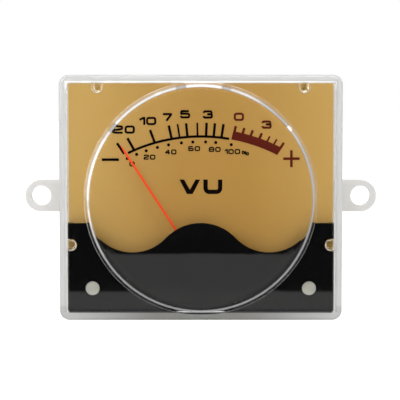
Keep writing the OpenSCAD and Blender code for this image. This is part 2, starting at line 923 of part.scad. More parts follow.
// A closed band round the core, drawn in X and Y and w wide
module band(x_out, y0, y1, t, w, bend) {
    translate([0, (y0 + y1) / 2, 0]) linear_extrude(w, center = true) difference() {
        round_rect(2 * x_out, y1 - y0, bend);
        round_rect(2 * (x_out - t), y1 - y0 - 2 * t, max(bend - t, 0.1));
    }
}

module coil_former() {
    color("silver") on_axis(coil_angle)
        band(former_in_x + former_t, former_y0, former_y1, former_t, former_w,
             winding_bend - winding_t);
}

module coil_winding() {
    color("orangered") on_axis(coil_angle)
        band(former_in_x + former_t + winding_t, coil_y0, coil_y1, winding_t, winding_w,
             winding_bend);
}

// A pivot: a foot on the coil, a staff and a point that stands in the jewel's cup
module front_pivot() {
    point_y = front_cup_y - point_depth;
    root_y = front_cup_y + point_root;
    color("lightsteelblue") on_axis() {
        bar(foot_d, coil_y0 - foot_t, coil_y0);
        bar(staff_d, root_y, coil_y0);
        taper(point_tip_d, point_mouth_d, point_y, root_y + eps);
    }
}

module rear_pivot() {
    point_y = rear_cup_y + point_depth;
    root_y = rear_cup_y - point_root;
    color("lightsteelblue") on_axis() {
        bar(foot_d, coil_y1, coil_y1 + foot_t);
        bar(staff_d, coil_y1, root_y);
        taper(point_mouth_d, point_tip_d, root_y - eps, point_y);
    }
}

module collet(y0) {
    difference() {
        bar(collet_d, y0, y0 + collet_t);
        bar(staff_d, y0 - 1, y0 + collet_t + 1);
    }
}

module front_collet() {
    color("gold") on_axis() collet(front_collet_y);
}

module rear_collet() {
    color("gold") on_axis() collet(rear_collet_y);
}

// The pointer's foot lies behind the front bridge, and its arm is cranked forward over the dial
module pointer() {
    tip_z = pointer_l - pointer_tip_l;
    color("orangered") on_axis(rest_angle) {
        bent_rod([[0, arm_y, hub_r], [0, arm_y, crank_start], [0, pointer_y, crank_end],
                  [0, pointer_y, tip_z]], pointer_d);
        translate([0, pointer_y, tip_z - eps])
            cylinder(d1 = pointer_d, d2 = pointer_d / 3, h = pointer_tip_l + eps);
    }
}

module balance_cross() {
    color("gainsboro") on_axis(rest_angle) {
        difference() {
            union() {
                bar(2 * hub_r, arm_y - hub_t / 2, arm_y + hub_t / 2);
                translate([0, arm_y, -tail_l]) cylinder(d = arm_d, h = tail_l);
                for (s = [-1, 1]) translate([0, arm_y, 0]) rotate([0, s * 90, 0])
                    cylinder(d = arm_d, h = side_arm_l);
            }
            bar(staff_d, arm_y - 1, arm_y + 1);
            translate([0, arm_y, hub_r]) cylinder(d = pointer_d, h = 1);
        }
    }
}

// A sleeve on a side arm
module side_weight() {
    translate([0, 0, side_arm_l - weight_back - weight_l]) difference() {
        cylinder(d = weight_d, h = weight_l);
        translate([0, 0, -1]) cylinder(d = arm_d, h = weight_l + 2);
    }
}

// A disc across the tail, heavy enough to balance the pointer
module tail_weight() {
    difference() {
        translate([0, 0, -tail_weight_z])
            bar(tail_weight_d, tail_weight_back - tail_weight_t, tail_weight_back);
        translate([0, 0, -tail_l - 1]) cylinder(d = arm_d, h = tail_l + 1);
    }
}

module balance_weights() {
    color("darkgoldenrod") on_axis(rest_angle) translate([0, arm_y, 0]) {
        tail_weight();
        for (s = [-1, 1]) rotate([0, s * 90, 0]) side_weight();
    }
}

module stop_pins() {
    color("silver") stop_places() bar(stop_pin_d, mask_back + stop_stand, dial_back);
}

module stop_sleeves() {
    color("white") stop_places() difference() {
        bar(stop_sleeve_d, mask_back + stop_stand + sleeve_set, dial_y - sleeve_foot);
        bar(stop_pin_d, mask_back, dial_y);
    }
}

// --- Lamp board ------------------------------------------------------------

module lamp_pin_places() {
    both_sides(lamp_pin_pitch / 2) translate([0, 0, board_z]) children();
}

module lamp_board() {
    color("seagreen") difference() {
        slab(board_y, board_y + board_t) translate([0, board_z])
            round_rect(board_l, board_h, 1);
        both_sides(lamp_screw_x) translate([0, 0, board_z])
            bar(m2_d, board_y - 1, board_y + board_t + 1);
        lamp_pin_places() translate([0, board_y, 0])
            cube([lamp_pin_w, 2 * board_t + 2, lamp_pin_w], center = true);
    }
}

module lamp_leds() {
    led_l = 4;
    flange_d = led_d + 0.8;
    color("lightyellow") both_sides(led_pitch / 2) translate([0, 0, board_z]) {
        bar(flange_d, board_y - 1, board_y);
        bar(led_d, board_y - led_l + led_d / 2, board_y - 1 + eps);
        translate([0, board_y - led_l + led_d / 2, 0]) sphere(d = led_d);
    }
}

module lamp_resistor() {
    body_d = 1.9;
    body_l = 3.6;
    lead_d = 0.45;
    lead_out = 1;
    body_z = board_z + board_h / 2 - 1.6;
    body_y = board_y - body_d / 2;
    color("burlywood") translate([0, body_y, body_z]) {
        rotate([0, 90, 0]) cylinder(d = body_d, h = body_l, center = true);
        both_sides() bent_rod([[body_l / 2 - eps, 0, 0], [body_l / 2 + lead_out, 0, 0],
                               [body_l / 2 + lead_out, body_d / 2, 0]], lead_d);
    }
}

module lamp_pins() {
    pin_y0 = board_y - lamp_pin_front;
    pin_y1 = case_depth + lamp_pin_out;
    color("gold") lamp_pin_places() translate([0, (pin_y0 + pin_y1) / 2, 0])
        cube([lamp_pin_w, pin_y1 - pin_y0, lamp_pin_w], center = true);
}

module lamp_screws() {
    color("silver") both_sides(lamp_screw_x) translate([0, 0, board_z])
        slotted_screw(m2_d, m2_head_d, m2_head_t, board_t + m2_bite, board_y, m2_slot_w);
}

// --- Terminals -------------------------------------------------------------

module at_terminals() {
    both_sides(terminal_pitch / 2) translate([0, 0, terminal_z]) children();
}

// A flat ring with a tail that points down, drawn in X and Z
module tag_outline(ring, bore, tail_l, tail_w) {
    difference() {
        union() {
            circle(d = ring);
            translate([-tail_w / 2, -tail_l]) square([tail_w, tail_l]);
            translate([0, -tail_l]) circle(d = tail_w);
        }
        circle(d = bore);
        translate([0, -tail_l]) circle(d = tail_w * 0.45);
    }
}

module terminal_studs() {
    head_y = back_in - eyelet_t;
    color("gold") at_terminals() {
        hex_bar(nut_af, head_y - stud_head_t, head_y);
        bar(stud_d, head_y - eps, case_depth + stud_l);
    }
}

module terminal_washers() {
    color("silver") at_terminals() difference() {
        bar(washer_d, case_depth, case_depth + washer_t);
        bar(stud_d, case_depth - 1, case_depth + washer_t + 1);
    }
}

module solder_tags() {
    tag_y = case_depth + washer_t;
    color("lightgray") at_terminals() {
        slab(tag_y, tag_y + tag_t) tag_outline(nut_af, stud_d, tag_l, tag_w);
        slab(back_in - eyelet_t, back_in)
            tag_outline(nut_af, stud_d, inner_tag_l, inner_tag_w);
    }
}

module terminal_nuts() {
    nut_y = case_depth + washer_t + tag_t;
    color("gold") at_terminals() difference() {
        hex_bar(nut_af, nut_y, nut_y + nut_t);
        bar(stud_d, nut_y - 1, nut_y + nut_t + 1);
    }
}

// Two insulated wires, from the left stud to a front pillar and from the right to a rear one
module lead_wires() {
    tag_x = terminal_pitch / 2;
    tag_y = back_in - eyelet_t;
    tag_z = terminal_z - inner_tag_l;
    side = (pillar_d + wire_d) / 2;
    end_x = pillar_x + side * sin(wire_side_angle);
    end_z = pivot_z + side * cos(wire_side_angle);
    pass_x = yoke_d / 2 + wire_out;
    front_y = yoke_y0 - wire_set;
    rear_y = seat_y + wire_set;
    color("firebrick") wire([
        [-tag_x, tag_y, tag_z], [-tag_x, tag_y - wire_drop, tag_z - wire_drop],
        [-pass_x, front_y, end_z + wire_rise], [-end_x, front_y, end_z]], wire_d);
    color("black") wire([
        [tag_x, tag_y, tag_z], [tag_x, tag_y - wire_drop, tag_z - wire_drop],
        [pass_x, rear_y, end_z + wire_rise], [end_x, rear_y, end_z]], wire_d);
}

// --- Parts -----------------------------------------------------------------

front_cover();
rear_case();
dial_plate();
black_mask();
pointer();
core_magnet();
yoke_ring();
movement_frame();
movement_screws();
front_bridge();
rear_bridge();
front_pillars();
rear_pillars();
bridge_screws();
front_jewel_screw();
rear_jewel_screw();
front_jewel();
rear_jewel();
front_locknut();
rear_locknut();
front_abutment();
zero_regulator();
zero_adjuster();
coil_former();
coil_winding();
front_pivot();
rear_pivot();
front_collet();
rear_collet();
front_hairspring();
rear_hairspring();
balance_cross();
balance_weights();
stop_pins();
stop_sleeves();
lamp_board();
lamp_leds();
lamp_resistor();
lamp_pins();
lamp_screws();
terminal_studs();
terminal_washers();
solder_tags();
terminal_nuts();
lead_wires();
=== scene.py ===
"""Looks of a moving-coil level meter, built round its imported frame."""

import logging
import math
from dataclasses import dataclass
from enum import Enum
from typing import Any, Sequence

import bmesh
import bpy
from mathutils import Matrix, Vector

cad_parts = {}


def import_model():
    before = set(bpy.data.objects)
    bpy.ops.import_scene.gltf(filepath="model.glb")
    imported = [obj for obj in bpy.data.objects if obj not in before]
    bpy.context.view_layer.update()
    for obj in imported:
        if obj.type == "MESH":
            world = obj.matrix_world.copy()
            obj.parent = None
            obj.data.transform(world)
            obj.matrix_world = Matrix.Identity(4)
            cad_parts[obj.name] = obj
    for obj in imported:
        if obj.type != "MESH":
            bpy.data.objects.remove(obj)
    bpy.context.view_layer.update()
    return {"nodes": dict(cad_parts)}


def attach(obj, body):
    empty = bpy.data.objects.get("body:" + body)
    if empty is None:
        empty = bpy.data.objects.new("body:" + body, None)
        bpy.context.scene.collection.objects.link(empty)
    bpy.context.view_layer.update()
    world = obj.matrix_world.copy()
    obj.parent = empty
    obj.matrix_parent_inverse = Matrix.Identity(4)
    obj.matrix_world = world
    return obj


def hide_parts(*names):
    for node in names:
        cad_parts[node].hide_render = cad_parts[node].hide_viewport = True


LOG = logging.getLogger("meter")
MM = 0.001
COVER_SLOT = "clear_plastic"
DIAL_SLOT = "amber_dial"
# Points closer than this are merged
WELD_MM = 1e-4
# The facets of each rounded corner of a rectangle
CORNER_FACETS = 8
# Turns what Blender makes along Z, so that it lies along the depth
ALONG_DEPTH = Matrix.Rotation(math.pi / 2, 4, "X")
# A brushed pattern's shrinking along X, which draws its pits out to lines
BRUSH_STRETCH = 0.02
# Divides a pattern's density for the Wave Texture, whose lines are then about a grain wide
WAVE_SPAN = 6.28
LEAST_ROUGHNESS = 0.02
# Light scatters a little less far in blue
MILK_RADIUS = (1.0, 1.0, 0.9)
# Sockets of a colour Mix node, which has several of each name
MIX_A, MIX_B, MIX_OUT = 6, 7, 2
Point = tuple[float, float]


class Body(Enum):
    """The bodies that new pieces ride on."""

    CASE = "case"


# --- Mesh helpers ------------------------------------------------------------


class Shape:
    """A mesh that is built in millimetres and then becomes a piece of the meter."""

    def __init__(self) -> None:
        """Starts with an empty mesh."""
        self.bm = bmesh.new()

    def pen(self, x: float, z: float, y: float) -> "Pen":
        """Starts an outline at a point, at one depth."""
        return Pen(self.bm, x, z, y)

    def loop(self, corners: Sequence[Point], y: float, radius: float, segments: int) -> list:
        """Draws a closed outline with rounded corners.

        Args:
            corners: the corners in X and Z.
            y: its depth.
            radius: the rounding of each corner.
            segments: the facets of each rounding.

        Returns:
            The outline's edges.
        """
        before = set(self.bm.edges)
        pen = self.pen(*corners[0], y)
        for x, z in corners[1:]:
            pen.line(x, z)
        pen.close()
        made = [e for e in self.bm.edges if e not in before]
        verts = list({v for e in made for v in e.verts})
        if radius > 0:
            round_corners(self.bm, verts, radius, segments)
        return [e for e in self.bm.edges if e not in before]

    def rectangle(self, width: float, height: float, y: float, radius: float, cuts: int) -> list:
        """Draws a closed rectangle with rounded corners and cut sides.

        Args:
            width: its size in X.
            height: its size in Z.
            y: its depth.
            radius: the rounding of its corners.
            cuts: how many times each side is cut.

        Returns:
            The outline's edges.
        """
        before = set(self.bm.edges)
        x, z = width / 2, height / 2
        edges = self.loop([(-x, -z), (x, -z), (x, z), (-x, z)], y, radius, CORNER_FACETS)
        sides = sorted(edges, key=lambda e: e.calc_length())[-4:]
        bmesh.ops.subdivide_edges(self.bm, edges=sides, cuts=cuts)
        return [e for e in self.bm.edges if e not in before]

    def circle(self, radius: float, y: float, segments: int) -> list:
        """Draws a circle round the lens's axis.

        Args:
            radius: its radius.
            y: its depth.
            segments: its facets.

        Returns:
            The circle's edges.
        """
        place = Matrix.Translation((0, y, 0)) @ ALONG_DEPTH
        made = bmesh.ops.create_circle(self.bm, segments=segments, radius=radius, matrix=place)
        return list({e for v in made["verts"] for e in v.link_edges})

    def pull(self, edges: Sequence, dy: float) -> list:
        """Extrudes an outline in depth.

        Args:
            edges: the outline.
            dy: how far it goes back.

        Returns:
            The new outline's edges.
        """
        made = bmesh.ops.extrude_edge_only(self.bm, edges=list(edges))["geom"]
        verts = [g for g in made if isinstance(g, bmesh.types.BMVert)]
        bmesh.ops.translate(self.bm, verts=verts, vec=(0, dy, 0))
        ends = set(verts)
        return [
            g
            for g in made
            if isinstance(g, bmesh.types.BMEdge) and g.verts[0] in ends and g.verts[1] in ends
        ]

    def bridge(self, first: Sequence, second: Sequence) -> None:
        """Joins two outlines with faces."""
        bmesh.ops.bridge_loops(self.bm, edges=[*first, *second])

    def fill(self, edges: Sequence) -> Any:
        """Fills an outline with one face and returns it."""
        return bmesh.ops.contextual_create(self.bm, geom=list(edges))["faces"][0]

    def soften(self, edges: Sequence, offset: float, segments: int) -> None:
        """Rounds edges.

        Args:
            edges: the edges.
            offset: how far from the edge the rounding starts.
            segments: its facets.
        """
        bmesh.ops.bevel(
            self.bm, geom=list(edges), offset=offset, offset_type="OFFSET", affect="EDGES",
            segments=segments, profile=0.5, material=-1, clamp_overlap=True,
        )

    def bar(self, radius: float, y0: float, y1: float, x: float, z: float, segments: int) -> None:
        """Adds a round bar along the depth.

        Args:
            radius: its radius.
            y0: the depth of its front end.
            y1: the depth of its rear end.
            x: its place.
            z: its height.
            segments: its facets.
        """
        place = Matrix.Translation((x, (y0 + y1) / 2, z)) @ ALONG_DEPTH
        bmesh.ops.create_cone(
            self.bm, cap_ends=True, segments=segments, radius1=radius, radius2=radius,
            depth=y1 - y0, matrix=place,
        )

    def block(self, centre: Sequence[float], size: Sequence[float], angle: float = 0.0) -> None:
        """Adds a block.

        Args:
            centre: its centre.
            size: its size along each axis.
            angle: its turn in degrees, clockwise as seen from the front.
        """
        place = (
            Matrix.Translation(centre)
            @ Matrix.Rotation(math.radians(angle), 4, "Y")
            @ Matrix.Diagonal((*size, 1.0))
        )
        bmesh.ops.create_cube(self.bm, size=1.0, matrix=place)

    def piece(
        self, name: str, body: Body, finish: "Finish", slot: str, smooth: float = 35.0,
        weld: bool = True,
    ) -> bpy.types.Object:
        """Turns the mesh into an object that rides on a body.

        Args:
            name: the piece's name.
            body: the body that it moves with.
            finish: its material.
            slot: the record's material slot, which is not used.
            smooth: the angle under which neighbouring faces shade as one.
            weld: whether doubles are merged.

        Returns:
            The new object.
        """
        if weld:
            bmesh.ops.remove_doubles(self.bm, verts=self.bm.verts, dist=WELD_MM)
        bmesh.ops.recalc_face_normals(self.bm, faces=self.bm.faces)
        bmesh.ops.scale(self.bm, vec=(MM, MM, MM), verts=self.bm.verts)
        mesh = bpy.data.meshes.new(name)
        self.bm.to_mesh(mesh)
        self.bm.free()
        mesh.shade_smooth()
        mesh.set_sharp_from_angle(angle=math.radians(smooth))
        mesh.materials.append(finish.material())
        obj = bpy.data.objects.new(name, mesh)
        bpy.context.scene.collection.objects.link(obj)
        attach(obj, body.value)
        return obj


class Pen:
    """Draws an outline of lines and arcs in X and Z, at one depth."""

    def __init__(self, bm: bmesh.types.BMesh, x: float, z: float, y: float) -> None:
        """Puts the pen down at a point."""
        self.bm, self.y = bm, y
        self.first = self.tip = bmesh.ops.create_vert(bm, co=(x, y, z))["vert"][0]

    def line(self, x: float, z: float) -> "Pen":
        """Draws a straight line.

        Args:
            x: the place of its end.
            z: the height of its end.

        Returns:
            The pen itself.
        """
        made = bmesh.ops.extrude_vert_indiv(self.bm, verts=[self.tip])
        self.tip = made["verts"][0]
        self.tip.co = (x, self.y, z)
        return self

    def arc(self, x: float, z: float, degrees: float, steps: int) -> "Pen":
        """Draws an arc.

        Args:
            x: the place of its centre.
            z: the height of its centre.
            degrees: how far it sweeps, clockwise as seen from the front where positive.
            steps: its facets.

        Returns:
            The pen itself.
        """
        made = bmesh.ops.spin(
            self.bm, geom=[self.tip], cent=(x, self.y, z), axis=(0, 1, 0),
            angle=math.radians(degrees), steps=steps,
        )
        self.tip = [g for g in made["geom_last"] if isinstance(g, bmesh.types.BMVert)][0]
        return self

    def close(self) -> None:
        """Draws the last line, back to the first point."""
        bmesh.ops.contextual_create(self.bm, geom=[self.tip, self.first])


def round_corners(bm: bmesh.types.BMesh, verts: Sequence, radius: float, segments: int) -> None:
    """Rounds corners of an outline.

    Args:
        bm: the mesh.
        verts: the corners.
        radius: how far from the corner the rounding starts.
        segments: its facets.
    """
    bmesh.ops.bevel(
        bm, geom=list(verts), offset=radius, offset_type="OFFSET", affect="VERTICES",
        segments=segments, profile=0.5, material=-1, clamp_overlap=True,
    )


def settle(obj: bpy.types.Object) -> None:
    """Applies an object's modifiers to its mesh.

    Args:
        obj: the object.
    """
    graph = bpy.context.evaluated_depsgraph_get()
    mesh = bpy.data.meshes.new_from_object(obj.evaluated_get(graph))
    old = obj.data
    obj.modifiers.clear()
    obj.data = mesh
    bpy.data.meshes.remove(old)
    mesh.name = obj.name


# --- Materials ---------------------------------------------------------------


def linear(colour: str) -> tuple[float, float, float, float]:
    """Turns an sRGB colour to linear values.

    Args:
        colour: the colour as "#RRGGBB".

    Returns:
        Red, green, blue and a full alpha.
    """
    parts = [int(colour[i : i + 2], 16) / 255 for i in (1, 3, 5)]
    red, green, blue = (p / 12.92 if p <= 0.04045 else ((p + 0.055) / 1.055) ** 2.4 for p in parts)
    return red, green, blue, 1.0


def shades(colour: str, tone: float) -> tuple[tuple[float, ...], tuple[float, ...]]:
    """Gives a colour's darker and lighter shade, in linear values."""
    base = linear(colour)[:3]
    return (*(c * (1 - tone) for c in base), 1.0), (*(min(c * (1 + tone), 1.0) for c in base), 1.0)


def feed(tree: bpy.types.NodeTree, node: bpy.types.Node, inputs: dict[Any, Any]) -> None:
    """Sets a node's inputs.

    Args:
        tree: the node tree.
        node: the node.
        inputs: by name or number of the input, its value or the output that feeds it.
    """
    for key, value in inputs.items():
        if isinstance(value, bpy.types.NodeSocket):
            tree.links.new(value, node.inputs[key])
        else:
            node.inputs[key].default_value = value


def add_node(
    tree: bpy.types.NodeTree, kind: str, inputs: dict[Any, Any] | None = None, **settings: Any
) -> bpy.types.Node:
    """Adds a shader node with its settings and links.

    Args:
        tree: the node tree.
        kind: the node's type.
        inputs: by name or number of the input, its value or the output that feeds it.
        settings: the node's own settings.

    Returns:
        The new node.
    """
    node = tree.nodes.new(kind)
    for name, value in settings.items():
        setattr(node, name, value)
    feed(tree, node, inputs or {})
    return node


class Grain(Enum):
    """How a surface's fine pattern runs."""

    MOULDED = "fine even pits"
    BRUSHED = "lines along X"
    TURNED = "rings about a centre"
    WOUND = "turns of wire across the band"
    WOVEN = "crossing threads"


@dataclass(frozen=True)
class Finish:
    """A material and how its surface was made.

    The pattern has the size grain_mm, moves the colour's brightness by tone, the roughness by
    spread, and stands up by bump_mm.
    """

    name: str
    colour: str
    roughness: float
    metallic: float = 0.0
    ior: float = 1.5
    grain: Grain = Grain.MOULDED
    grain_mm: float = 0.3
    tone: float = 0.05
    spread: float = 0.06
    bump_mm: float = 0.004
    centre: tuple[float, float, float] = (0.0, 0.0, 0.0)
    coat: float = 0.0
    gloss: float = 0.5
    milk_mm: float = 0.0
    sheen: float = 0.0

    def material(self) -> bpy.types.Material:
        """Gives the material, which is made once."""
        return bpy.data.materials.get(self.name) or self._make()

    def _pattern(self, tree: bpy.types.NodeTree) -> bpy.types.NodeSocket:
        """Adds the pattern's nodes.

        Args:
            tree: the material's node tree.

        Returns:
            The pattern's height, from 0 to 1.
        """
        place = add_node(tree, "ShaderNodeTexCoord").outputs["Object"]
        density = 1 / (self.grain_mm * MM)
        stretch = (BRUSH_STRETCH if self.grain is Grain.BRUSHED else 1.0, 1.0, 1.0)
        shift = [-c * MM * s for c, s in zip(self.centre, stretch)]
        turned = add_node(
            tree, "ShaderNodeMapping", {0: place, "Location": shift, "Scale": stretch}
        ).outputs[0]
        if self.grain in (Grain.MOULDED, Grain.BRUSHED):
            return add_node(
                tree, "ShaderNodeTexNoise",
                {"Vector": turned, "Scale": density, "Detail": 3.0, "Roughness": 0.6},
            ).outputs[0]
        wave = {"Vector": turned, "Scale": density / WAVE_SPAN}
        if self.grain is Grain.WOVEN:
            threads = [
                add_node(
                    tree, "ShaderNodeTexWave", {**wave, "Distortion": 0.4},
                    wave_type="BANDS", bands_direction=direction,
                ).outputs[1]
                for direction in ("X", "Z")
            ]
            return add_node(
                tree, "ShaderNodeMath", dict(enumerate(threads)), operation="MULTIPLY"
            ).outputs[0]
        ringed = self.grain is Grain.TURNED
        return add_node(
            tree, "ShaderNodeTexWave", {**wave, "Distortion": 0.6, "Detail": 1.0},
            wave_type="RINGS" if ringed else "BANDS",
            **({"rings_direction": "Y"} if ringed else {"bands_direction": "Z"}),
        ).outputs[1]

    def _tones(
        self, tree: bpy.types.NodeTree, height: bpy.types.NodeSocket
    ) -> bpy.types.NodeSocket:
        """Adds the colour's nodes.

        Args:
            tree: the material's node tree.
            height: the pattern's height.

        Returns:
            The colour.
        """
        dim, lit = shades(self.colour, self.tone)
        return add_node(
            tree, "ShaderNodeMix", {0: height, MIX_A: dim, MIX_B: lit}, data_type="RGBA"
        ).outputs[MIX_OUT]

    def _make(self) -> bpy.types.Material:
        """Builds the material's nodes.

        Returns:
            The new material.
        """
        made = bpy.data.materials.new(self.name)
        made.use_nodes = True
        tree = made.node_tree
        height = self._pattern(tree)
        rough = add_node(
            tree, "ShaderNodeMapRange",
            {"Value": height, "To Min": max(self.roughness - self.spread, LEAST_ROUGHNESS),
             "To Max": self.roughness + self.spread},
        ).outputs[0]
        bump = add_node(
            tree, "ShaderNodeBump",
            {"Strength": 1.0, "Distance": self.bump_mm * MM, "Height": height},
        ).outputs[0]
        inputs: dict[str, Any] = {
            "Base Color": self._tones(tree, height), "Roughness": rough, "Normal": bump,
            "Metallic": self.metallic, "Specular IOR Level": self.gloss,
            "Coat Weight": self.coat, "Sheen Weight": self.sheen,
        }
        if not self.metallic:
            inputs["IOR"] = self.ior
        if self.milk_mm:
            inputs["Subsurface Weight"] = 1.0
            inputs["Subsurface Radius"] = MILK_RADIUS
            inputs["Subsurface Scale"] = self.milk_mm * MM
        feed(tree, tree.nodes["Principled BSDF"], inputs)
        return made


@dataclass(frozen=True)
class PaintedShadeFinish(Finish):
    """A surface with painted shade: its colour is darker near a middle point and paler away from
    it.

    It starts to turn at near_mm from the centre and is painted_lit_colour at far_mm, where reach
    scales the distance along each axis.
    """

    painted_lit_colour: str = "#FFFFFF"
    near_mm: float = 8.0
    far_mm: float = 42.0
    reach: tuple[float, float, float] = (1.0, 1.0, 1.0)

    def _tones(
        self, tree: bpy.types.NodeTree, height: bpy.types.NodeSocket
    ) -> bpy.types.NodeSocket:
        """Adds the colour's nodes.

        Args:
            tree: the material's node tree.
            height: the pattern's height.

        Returns:
            The colour.
        """
        place = add_node(tree, "ShaderNodeTexCoord").outputs["Object"]
        shift = [-c * MM * r for c, r in zip(self.centre, self.reach)]
        place = add_node(
            tree, "ShaderNodeMapping", {0: place, "Location": shift, "Scale": self.reach}
        ).outputs[0]
        away = add_node(
            tree, "ShaderNodeVectorMath", {0: place}, operation="LENGTH"
        ).outputs["Value"]
        # The share of the paler colour, away from the painted shade round the centre
        pale = add_node(
            tree, "ShaderNodeMapRange",
            {"Value": away, "From Min": self.near_mm * MM, "From Max": self.far_mm * MM},
        ).outputs[0]
        dim, lit = (
            add_node(
                tree, "ShaderNodeMix", {0: pale, MIX_A: near, MIX_B: far}, data_type="RGBA"
            ).outputs[MIX_OUT]
            for near, far in zip(shades(self.colour, self.tone), shades(self.painted_lit_colour, self.tone))
        )
        return add_node(
            tree, "ShaderNodeMix", {0: height, MIX_A: dim, MIX_B: lit}, data_type="RGBA"
        ).outputs[MIX_OUT]


class Measure(Enum):
    """What a fade runs along on the cover, in millimetres."""

    DEPTH = "the depth behind the front face"
    HEIGHT = "the height above the lens's axis"
    ASIDE = "the distance to either side of the lens's axis"
    RADIUS = "the distance from the lens's axis"
    BORE = "the same, less a part of the wall where the lens is highest"
    # The haze's box is the inside of the skirt; outside it the front face's border is painted grey,
    # and along its outline lies a painted highlight
    PAST = "how far a spot lies outside the haze's box"
    BRINK = "the distance from that box's outline"
    LEAN = "how far up and to the left a spot lies"


@dataclass(frozen=True)
class Fade:
    """A smooth step along a measure, from one strength before it to another after it."""

    along: Measure
    start_mm: float
    end_mm: float
    before: float
    after: float


# A mask joins products of fades, each of which picks out one part of the cover
Mask = tuple[tuple[Fade, ...], ...]
Measures = dict[Measure, bpy.types.NodeSocket]


@dataclass(frozen=True)
class PaintedEdgeLight:
    """A circle of painted light on the lens's moulded edge, and what else bounds it."""

    radius_mm: float
    half_mm: float
    strength: float
    bounds: tuple[Fade, ...] = ()

    def fades(self) -> tuple[Fade, ...]:
        """Gives the line's product of fades.

        Returns:
            The fades up to the circle and down from it, and the bounds.
        """
        inner, middle = self.radius_mm - self.half_mm, self.radius_mm
        rise = Fade(Measure.RADIUS, inner, middle, 0.0, 1.0)
        fall = Fade(Measure.RADIUS, middle, middle + self.half_mm, self.strength, 0.0)
        return (rise, fall, *self.bounds)


@dataclass(frozen=True)
class PaintedReflectionDash:
    """A short stretch of the lens's edge with a painted reflection, whose shade runs from 0 for
    grey to 1 for white.

    It keeps that shade over the core's share of its half length, and then fades.
    """

    angle_deg: float
    half_mm: float
    shade: float
    core: float = 0.7


